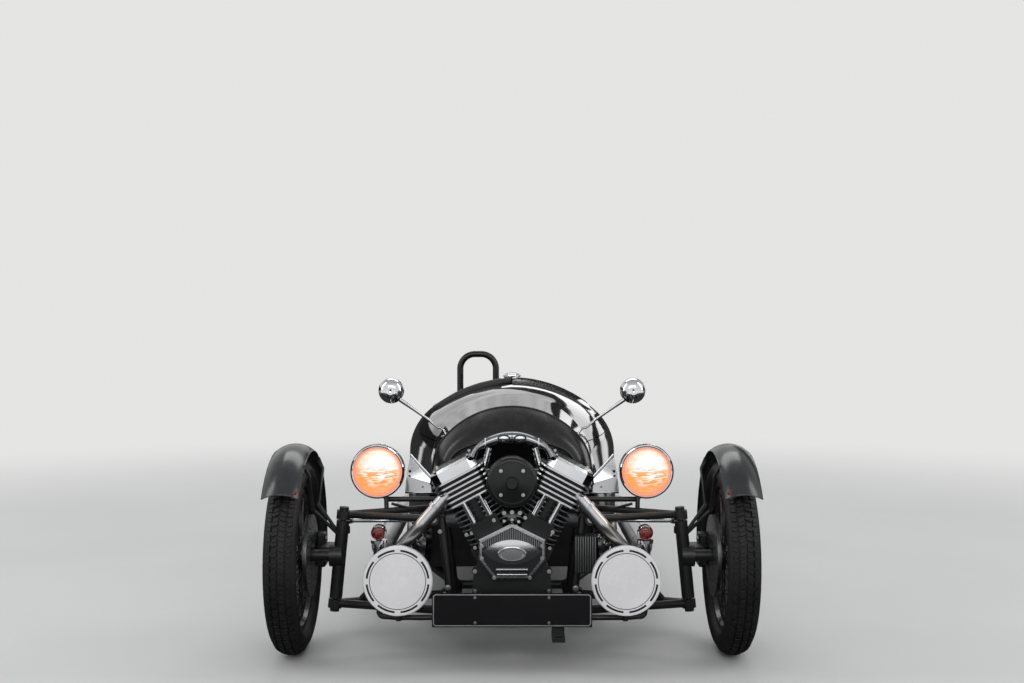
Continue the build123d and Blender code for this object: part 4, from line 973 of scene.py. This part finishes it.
# bolts and dome nuts that face ahead: y, radius, and x and z of each
for y, radius, spots in (
        (-288, 4.2, ((-36, 661), (36, 661), (-36, 583), (36, 583))),
        (-253, 4.5, ((-98, 372), (98, 372), (-98, 412), (98, 412), (-58, 309), (58, 309))),
        (-202, 5, ((-26, 512), (0, 514), (26, 512), (-70, 488), (70, 488), (-112, 448), (112, 448))),
        (-205, 3.6, ((-26, 486), (0, 490), (22, 484))), (-205, 4, ((-80, 470), (78, 462))),
        (-205, 4.4, ((-132, 446), (126, 442))),
        (-205, 4.2, ((-122, 398), (124, 396))), (-186, 7, ((-212, 262), (210, 260))), (-186, 5, ((-238, 448),)),
        (-263.8, 3.4, ((-120, 164), (-120, 246), (120, 164), (120, 246)))):
    for x, z in spots:
        bolt("body", at(x, y, z), (0, -1, 0), radius)
for label, side in sides:
    for u in (-62, 62):
        for v in (-72, 72):
            bolt("body", cylinderPoint(side, u, v, 431.5), tilted(side, 0, 0, 1), 5)
    for u in (-60, 42):
        bolt("body", cylinderPoint(side, u, -108, 205), (0, -1, 0), 4.5)
    for y in (-130, 130):
        for x, z, radius in ((262, 482, 8), (236, 175, 9)):
            for way in (-1, 1):
                bolt("body", at(side * x, y + way * 22, z), (0, way, 0), radius)
    bolt("body", at(side * 165.2, 2390, 311), (side, 0, 0), 11)
    bolt("body", at(side * 162.2, 2005, 291), (side, 0, 0), 10)
    knuckle = "knuckle_" + label.lower()
    for z in (377, 293):
        bolt(knuckle, at(side * 657, 106, z), (-side, 0, 0), 6)
    bolt(knuckle, at(side * 579, 0, 489), (-side * 0.1, 0, 1), 9)
    bolt(knuckle, at(side * 583.3, 82, 459), (0, 0, 1), 6)
    for i in range(6):
        a = math.radians(i * 60)
        bolt("wheel_front_" + label.lower(), at(side * 716, 56 * math.cos(a), 335 + 56 * math.sin(a)), (-side, 0, 0), 3.5)
boltNames = {"body": "boltsBody", "knuckle_l": "boltsKnuckleL", "wheel_front_l": "boltsWheelL",
             "knuckle_r": "boltsKnuckleR",
             "wheel_front_r": "boltsWheelR"}
for body, rows in bolts.items():
    mesh = bpy.data.meshes.new("boltPoints")
    mesh.from_pydata([tuple(r[0]) for r in rows], [], [])
    mesh.attributes.new("facing", "FLOAT_VECTOR", "POINT").data.foreach_set("vector", [c for r in rows for c in r[1]])
    mesh.attributes.new("size", "FLOAT", "POINT").data.foreach_set("value", [r[2] for r in rows])
    settle(boltTree.run(newPiece(boltNames[body], mesh), fastener, Sides=6, Washer=1.4, Head=0.75), fastener, body=body)
print("bolts placed")

# Arch over the air cleaner: crowned band with two domed ovals; a bow is three points of its arc and the foot before it
archSizes = {"front": -197.5, "edge": -186, "back": -161, "ovalX": 27, "ovalZ": 757.5, "oval": (21, 12), "rows": 10,
             "outer": [(-140, 700), (-134, 711), (-126, 723)], "outerBow": ((-117, 733), (0, 777), (117, 733)),
             "inner": [(-118, 690), (-116, 699), (-112, 709)], "innerBow": ((-106, 718), (0, 740), (106, 718))}


def stretched(name, line, place, wide, high, steps, finish, slotName="polished_aluminium"):  # an oval turned piece
    piece = lathe(name, line, Vector(), "Y", steps)
    piece.data.transform(Matrix.Translation(place) @ Matrix.Diagonal((wide, 1, high, 1)))
    settle(piece, finish, slotName)


def makeArch():
    s = archSizes
    outer, inner = [s[k] + arcPoints(*s[k + "Bow"], 40) + mirroredLine(s[k]) for k in ("outer", "inner")]
    bm = bmesh.new()
    rings = []
    for (ox, oz), (ix, iz) in zip(outer, inner):
        ring = [bm.verts.new(at(ox, s["back"], oz))]
        for k in range(s["rows"] + 1):
            share = k / s["rows"]
            y = s["edge"] + (s["front"] - s["edge"]) * math.sqrt(max(0, 1 - (2 * share - 1) ** 2))
            ring.append(bm.verts.new(at(ox + (ix - ox) * share, y, oz + (iz - oz) * share)))
        ring.append(bm.verts.new(at(ix, s["back"], iz)))
        rings.append(ring)
    quads(bm, zip(rings, rings[1:]))
    bm.faces.new(rings[0])
    bm.faces.new(rings[-1])
    # the band's darkened chrome is a painted dark reflection
    settle(fromBm("archBand", bm, 50), paintedDarkChrome, replaced=("arch_bracket",))
    # near-black oval seats round the domes: painted shade at their edges
    seat = [(0.5, 0), (0.5, 1000), (-1.8, 1000), (-2.0, 900), (-0.2, 840), (-0.2, 0)]
    dome = [(0.4 - 5.4 * math.cos(math.radians(a)), 800 * math.sin(math.radians(a))) for a in (80, 65, 50, 35, 20, 8)]
    for label, sign in sides:
        middle = at(sign * s["ovalX"], s["front"] + 0.2, s["ovalZ"])
        for name, line, finish in (("archSeat", seat, slotDark), ("archDome", [(0.4, 800)] + dome + [(-5.0, 0)], chrome)):
            stretched(name + label, line, middle, s["oval"][0] / 1000, s["oval"][1] / 1000, 48, finish)
    for name, finish, x, z, size in (("archStrapR", chrome, -88, 743, (4, 3, 30)),
                                     ("archSeam", slotDark, 0, 758, (2.4, 3, 34)),
                                     ("archStrapL", chrome, 88, 743, (4, 3, 30))):
        settle(boxPiece(name, at(x, s["front"] + 0.6, z), size, 0.5), finish, "polished_aluminium")


makeArch()

engineSizes = {"boss": [(-4.5, 0), (-4.5, 33), (-3.2, 34.4), (-3.2, 38.5), (-5.4, 40), (-5.4, 42.5), (3, 45)],
               "breather": 9.5, "collar": 11.5, "lead": 3.4, "header": 27, "fin": (2.6, 5, 118), "fins": 9,
               "finStep": 0.008}
stretched("camBoss", engineSizes["boss"], at(0, -256.5, 387), 1.05, 0.52, 64, polished)
for label, sign in sides:
    s = engineSizes
    low, high = at(sign * 90, -152, 664), at(sign * 76, -152, 722)
    way = (high - low).normalized()
    collars = [tube("collar", [low + way * (0.010 * k), low + way * (0.010 * k + 0.004)], s["collar"],
                    16) for k in range(1, 5)]
    settle(joined("breather" + label, [tube("pipe", [low, high], s["breather"], 16)] + collars), chrome)
    points = [cylinderPoint(sign, -sign * 96, -40, 344), cylinderPoint(sign, -sign * 118, -46, 344),
              at(sign * 48, -150, 560),
              at(sign * 40, -120, 520), at(sign * 30, -60, 500)]
    settle(tube("plugLead" + label, points, s["lead"], 10, bends=6), hoseRubber)
    port, onward = at(sign * 212, -178, 570), at(sign * 300, -185, 469)
    way = (onward - port).normalized()
    start = port + way * 0.052
    settle(tube("exhaustCollar" + label, [start, start + way * 0.012], s["header"], 24), steel)
cooler = boxPiece("coolerFins", at(211, -186.7, 372.5), s["fin"], 0.6)
settle(rowTree.run(cooler, coolerGrey, Count=s["fins"], Step=(s["finStep"], 0, 0)), coolerGrey)

# Plate border
plateSizes = {"half": (260, 55.5), "inset": 3.6, "line": 3.0, "corner": 10, "rise": 0.6}
bm = bmesh.new()
loops = []
for grow in (0, plateSizes["line"]):
    hx, hz = [half - plateSizes["inset"] - grow for half in plateSizes["half"]]
    r = plateSizes["corner"] - grow
    ring = []
    for cx, cz, a0 in ((hx - r, hz - r, 0), (r - hx, hz - r, 90), (r - hx, r - hz, 180), (hx - r, r - hz, 270)):
        for k in range(7):
            a = math.radians(a0 + 15 * k)
            ring.append((cx + r * math.cos(a), cz + r * math.sin(a)))
    loops += [[bm.verts.new(at(x, -263.6 - rise, 205 + z)) for x, z in ring] for rise in (0, plateSizes["rise"])]
quads(bm, [(loops[a], loops[b]) for a, b in ((0, 1), (1, 3), (3, 2), (2, 0))])
settle(fromBm("plateBorder", bm), silverLine)
print("engine and plate dressed")

# Dampers with coil springs: name, foot, top, the spring's two ends as shares of the way, turns
damperRows = (("front", (520, 0, 186), (244, 0, 486), 0.16, 0.80, 9),
              ("rear", (184, 2300, 330), (190, 2112, 602), 0.14, 0.82, 8))
damperSizes = {"shaft": 9, "sleeve": 17, "perch": 27.5, "coil": 0.0232, "wire": 0.0042}
damperParts = []
for which, foot, top, low, high, turns in damperRows:
    for label, sign in sides:
        s = damperSizes
        a, b = [at(sign * x, y, z) for x, y, z in (foot, top)]
        way = b - a
        damperParts += [tube("shaft", [a, b], s["shaft"], 16),
                        tube("sleeve", [a + way * low, a + way * (low + high) * 0.5], s["sleeve"], 20)]
        damperParts += [tube("perch", [a + way * (k - 0.008), a + way * (k + 0.008)], s["perch"], 24) for k in (low,
                high)]
        spring = newPiece("spring" + which + label, bpy.data.meshes.new("spring"))
        spring = coilTree.run(spring, chrome, Turns=float(turns), Radius=s["coil"], Wire=s["wire"],
                              Length=way.length * (high - low),
                              Place=tuple(a + way * low), Turn=tuple(way.to_track_quat("Z", "Y").to_euler()))
        settle(spring, chrome)
settle(joined("damperBodies", damperParts), framePaint, replaced=("dampers",))
print("dampers made")


# Body trim: beads that follow the shell's sections
def sectionPoints(row, grow, count=14):  # the shell's outline at one place, foot to foot
    y, sillHalf, sillZ, sideHalf, shoulderZ, crownZ, corner = row
    corner, top = corner + grow, crownZ + grow
    foot = (sillHalf + grow, sillZ)
    cx, cz = sideHalf + grow - corner, shoulderZ
    rise = top - cz
    crownR = (cx * cx + rise * rise - corner * corner) / (2 * (rise - corner))
    px, pz = foot[0] - cx, foot[1] - cz
    low = math.atan2(pz, px) + math.acos(corner / math.hypot(px, pz))
    high = math.atan2(cz - (top - crownR), cx)
    turns = [low + (high - low) * i / count for i in range(count + 1)]
    right = [foot] + [(cx + corner * math.cos(a), cz + corner * math.sin(a)) for a in turns]
    edge = math.atan2(right[-1][0], right[-1][1] - (top - crownR))
    turns = [edge * (1 - i / count) for i in range(1, count + 1)]
    right += [(crownR * math.sin(a), top - crownR + crownR * math.cos(a)) for a in turns]
    return [at(x, y, z) for x, z in right + mirroredLine(right[:-1])]


# rows: y, sill half width, sill z, side half width, shoulder z, crown z, corner radius
bead = tube("noseBead", sectionPoints((206.5, 292, 555, 285, 606, 834, 186), 1.0), 3.2, 10)
settle(bead, hoseRubber)
lip = tube("noseLip", sectionPoints((110, 246, 562, 235, 605, 734, 103), -5.0), 6.0, 12)
settle(lip, cowlBlack)

# Mudguards: rolled edge and a small red reflector in the lower inner corner
guardSizes = {"radius": 385, "half": 60, "drop": 26, "ahead": 50, "behind": 92, "bead": 2.4, "reflector": (15, 4, 10),
              "lean": -43}


def guardPoint(sign, x, turn):  # x out from the tyre's middle, turn in degrees ahead of the top
    a, r = math.radians(turn), guardSizes["radius"] - guardSizes["drop"] * (x / 62) ** 2 - 1.2
    return at(sign * (750 + x), -r * math.sin(a), 335 + r * math.cos(a))


for label, sign in sides:
    s, body = guardSizes, "knuckle_" + label.lower()
    line = [guardPoint(sign, -s["half"], -s["behind"] + 8 * k) for k in range(18)]
    line += [guardPoint(sign, s["half"] * (k / 5 - 1), s["ahead"] - 0.4) for k in range(11)]
    line += [guardPoint(sign, s["half"], s["ahead"] - 6 - 8 * k) for k in range(17)]
    settle(tube("guardBead" + label, line, s["bead"], 10), guardPaint, body=body)
    spot = guardPoint(sign, -47, s["ahead"] - 3) + Vector((0, -0.0025, 0.002))
    turn = Matrix.Rotation(math.radians(s["lean"]), 3, "X")
    settle(boxPiece("guardReflector" + label, spot, s["reflector"], 1.2, turn), redGlass, body=body)

# Silencers: clamp bands and mouths filled with painted shade; dials on the dashboard, by name, x, z, radius
bandSizes = {"x": 512, "z": 250, "line": [(-5, 41), (-5, 43.6), (5, 43.6), (5, 41)], "at": (655, 690, 1090, 1785),
             "mouth": [(-2, 0), (0.3, 0), (0.3, 20.5), (-2, 20.5)], "end": 1990}
for label, sign in sides:
    s = bandSizes
    rings = [lathe("band", s["line"], at(sign * s["x"], y, s["z"]), "Y", 48) for y in s["at"]]
    settle(joined("silencerBands" + label, rings), steel)
    # a near-black disc inside each pipe end: painted shade
    turned("pipeMouth" + label, slotDark, at(sign * s["x"], s["end"], s["z"]), s["mouth"], 32, slotName="steel")
for name, x, z, r in (("Speed", -62, 705, 40), ("Fuel", -255, 712, 22), ("Heat", -300, 690, 18)):
    spot = at(x, 876, z)
    turned("dialRing" + name, chrome, spot, [(-1, r - 2), (-1, r + 3), (4, r + 3), (6, r + 1), (6, r - 2)], 48)
    turned("dialFace" + name, dialFace, spot, [(-1, 0), (2, 0), (2, r), (-1, r)], 48)
    hand = boxPiece("dialHand" + name, spot + Vector((0, 0.003, r / 3000)), (1.6, 1.2, r * 0.9), 0.2)
    settle(hand, slotDark, "black_paint")

# Side fairings: folded polished sheet with a diagonal flange, a ledge, two holes filled with painted shade, and a
# painted shadow under the flange
fairingSizes = {
    "corners": {"outTop": (384, 423, 634), "inTop": (268, 201, 552), "inLow": (268, 199, 529), "outLow": (384, 199, 529),
                "outEdge": (384, 237, 579), "ledgeIn": (268, 197, 526), "ledgeOut": (385, 197, 526),
                "footIn": (268, 197, 521),
                "footOut": (385, 197, 521), "backLow": (385, 423, 521), "backIn": (288, 423, 521)},
    "faces": (("outTop", "inTop", "outEdge"), ("outEdge", "inTop", "inLow", "outLow"),
              ("outLow", "inLow", "ledgeIn", "ledgeOut"),
              ("ledgeOut", "ledgeIn", "footIn", "footOut"), ("footOut", "footIn", "backIn", "backLow"),
              ("outTop", "outEdge", "outLow", "ledgeOut", "footOut", "backLow")),
    "flange": ((270, 203, 556), (382, 421, 637)), "holes": ((372, 257, 594), (322, 210, 541)),
    "brace": ((340, 90, 478), (420, 60, 505)), "post": ((438, 60, 470), (440, 70, 528)),
}


def makeFairing(label, sign):
    s = fairingSizes
    bm = bmesh.new()
    v = {k: bm.verts.new(at(sign * x, y, z)) for k, (x, y, z) in s["corners"].items()}
    for names in s["faces"]:
        bm.faces.new([v[n] for n in names])
    bmesh.ops.recalc_face_normals(bm, faces=bm.faces[:])
    if sum(f.normal.y for f in bm.faces) > 0:
        bmesh.ops.reverse_faces(bm, faces=bm.faces[:])
    sheet = fromBm("fairingSheet" + label, bm, 20)
    wall = sheet.modifiers.new("wall", "SOLIDIFY")
    wall.thickness, wall.offset = 0.002, -1
    edge = sheet.modifiers.new("edge", "BEVEL")
    edge.width, edge.segments = 0.0012, 2
    spots = [at(sign * x, y, z) for x, y, z in s["flange"] + s["brace"] + s["post"]]
    low, high = spots[:2]
    flange = tube("fairingFlange", [low, high], 4.2, 12)
    # a near-black strip just under the flange: painted shadow
    shade = tube("fairingShade", [low + Vector((0.001 * sign, -0.004, -0.011)), high + Vector((0, -0.004, -0.013))], 3.4,
                 8)
    replaced = ("side_fairings",) if sign > 0 else ()
    settle(joined("fairing" + label, [applied(sheet), flange]), polished, replaced=replaced)
    # near-black discs in the two holes: painted shade
    holes = [lathe("hole", [(-1.4, 0), (-1.4, 5), (3, 5)], at(sign * x, y, z), "Y", 16) for x, y, z in s["holes"]]
    settle(joined("fairingPaintedShade" + label, [shade] + holes), slotDark)
    # brace rod and the black post under the headlamp
    foot = [tube("brace", spots[2:4], 5, 12), tube("post", spots[4:], 8, 14)]
    settle(joined("lampFoot" + label, foot), framePaint)


for label, sign in sides:
    makeFairing(label, sign)


def rayTree(mesh):
    return BVHTree.FromPolygons([v.co for v in mesh.vertices], [tuple(p.vertices) for p in mesh.polygons])


def dropped(tree, x, y):  # where a plumb line at x and y, in millimetres, meets the mesh
    return tree.ray_cast(at(x, y, 2000), Vector((0, 0, -1)))[0]


# Cockpit: leather roll on the driver's side, laid on the shell, and stitched
shellNames = ("side_panel_l", "side_panel_r", "scuttle", "rear_deck", "passenger_cover", "tail")
shellTrees = [rayTree(nodes[name].data) for name in shellNames]
rollSizes = {"radius": 20, "half": 335, "from": 880, "to": 1650, "corner": 130, "inset": 13, "lift": 0.008,
             "seam": 24, "spacing": 0.009, "thread": 0.0007, "stitch": 0.006}


def clamped(value):
    return max(0.0, min(1.0, value))


def rollLine(inset):
    s = rollSizes
    half, y0, y1, r = s["half"] - inset, s["from"] + inset, s["to"] - inset, s["corner"] - inset
    bends = [math.radians(90 * k / 8) for k in range(9)]
    line = [(-44, y0), (-(half - r) * 0.6, y0)]
    line += [(-(half - r) - r * math.sin(a), y0 + r - r * math.cos(a)) for a in bends]
    line += [(-half, y0 + r + (y1 - y0 - 2 * r) * k / 8) for k in range(1, 8)]
    line += [(-half + r - r * math.cos(a), y1 - r + r * math.sin(a)) for a in bends]
    return line + [(-(half - r) * 0.5, y1), (-2, y1)]


points = []
for x, y in rollLine(rollSizes["inset"]):  # as high as the shell just outside, sinking toward the back
    hits = [dropped(tree, x * 1.06, (y - 1265) * 1.06 + 1265) for tree in shellTrees]
    top = max((hit.z for hit in hits if hit), default=0.8)
    points.append(Vector((*at(x, y, 0).xy, top + rollSizes["lift"] - 0.022 * clamped((y - 1050) / 350))))
roll = tube("cockpitRoll", points, rollSizes["radius"], 20, bends=4)
settle(roll, leatherBlack, replaced=("cockpit_rim",))
rollTree = rayTree(roll.data)
seam = []
line = rollLine(rollSizes["seam"])
for a, b in zip(line, line[1:]):  # dropped on the roll every few millimetres
    steps = max(1, round(math.dist(a, b) / 8))
    for k in range(steps):
        seam.append(dropped(rollTree, a[0] + (b[0] - a[0]) * k / steps, a[1] + (b[1] - a[1]) * k / steps))
mesh = bpy.data.meshes.new("stitchLine")
pairs = [(i, i + 1) for i, (p, q) in enumerate(zip(seam, seam[1:])) if p and q and abs(p.z - q.z) < 0.01]
mesh.from_pydata([tuple(p or (0, 0, 0.8)) for p in seam], pairs, [])
s = rollSizes
stitches = stitchTree.run(newPiece("rollStitches", mesh), threadGrey, Spacing=s["spacing"], Thread=s["thread"],
                          Length=s["stitch"])
settle(stitches, threadGrey)

# Seats: pleated cushions swollen by cloth, then sewn
seatSizes = {"pleats": 6, "voxel": 0.008, "cap": 0.012, "shrink": 8, "pressure": 4.0, "channel": 0.006, "border": 0.82,
             "frames": 20,
             "edge": 0.016, "base": (262, 430, 96), "back": (262, 84, 330)}


def swell(piece):  # remesh, blow up with cloth under pressure, and keep every point within the cap
    remesh = piece.modifiers.new("remesh", "REMESH")
    remesh.mode, remesh.voxel_size = "VOXEL", seatSizes["voxel"]
    piece = applied(piece)
    before = [v.co.copy() for v in piece.data.vertices]
    cloth = piece.modifiers.new("puff", "CLOTH")
    cloth.settings.use_pressure = True
    cloth.settings.uniform_pressure_force = seatSizes["pressure"]
    cloth.settings.quality = 4
    cloth.settings.effector_weights.gravity = 0
    cloth.point_cache.frame_start, cloth.point_cache.frame_end = 1, seatSizes["frames"]
    for frameNumber in range(1, seatSizes["frames"] + 1):
        scene.frame_set(frameNumber)
    piece = applied(piece)
    scene.frame_set(1)
    for v, old in zip(piece.data.vertices, before):
        move = v.co - old
        if move.length > seatSizes["cap"]:
            v.co = old + move.normalized() * seatSizes["cap"]
    return piece


def makeCushion(name, middle, size, tilt, isBack=False, replaced=()):
    s = seatSizes
    bm = bmesh.new()
    bmesh.ops.create_cube(bm, size=1)
    bmesh.ops.scale(bm, vec=[(c - s["shrink"]) / 1000 for c in size], verts=bm.verts)
    bmesh.ops.bevel(bm, geom=bm.edges[:], offset=s["edge"], segments=3, profile=0.5, affect="EDGES")
    cushion = swell(fromBm(name, bm, 60))
    turn = Matrix.Rotation(math.radians(tilt), 3, "X")
    half = Vector(size) / 2000
    for v in cushion.data.vertices:
        x, y, z = [c / reach for c, reach in zip(v.co, half)]
        out, far = (-y, max(abs(x), abs(z))) if isBack else (z, max(abs(x), abs(y)))
        inner = clamped((s["border"] - far) / 0.12)
        line = max(0.0, 1 - abs((x * s["pleats"] / 2 / s["border"]) % 1 - 0.5) * 2)
        rim = max(0.0, 1 - abs(far - s["border"]) / 0.05)
        depth = s["channel"] * max(inner * (1 - line) ** 4, rim) if out > 0.5 else 0
        v.co = turn @ (v.co + Vector((0, depth, 0) if isBack else (0, 0, -depth))) + middle
    smooth = cushion.modifiers.new("smooth", "SUBSURF")
    smooth.levels = smooth.render_levels = 1
    cushion = applied(cushion)
    cushion.data.shade_smooth()
    settle(cushion, leatherSeat, replaced=replaced)


for label, sign in reversed(sides):
    replaced = ("seat_cushions",) if label == "R" else ()
    makeCushion("seatBase" + label, at(sign * 232, 1420, 326), seatSizes["base"], 8, replaced=replaced)
    makeCushion("seatBack" + label, at(sign * 228, 1658, 560), seatSizes["back"], -14, isBack=True)
print("cockpit trimmed")

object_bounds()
print("done")
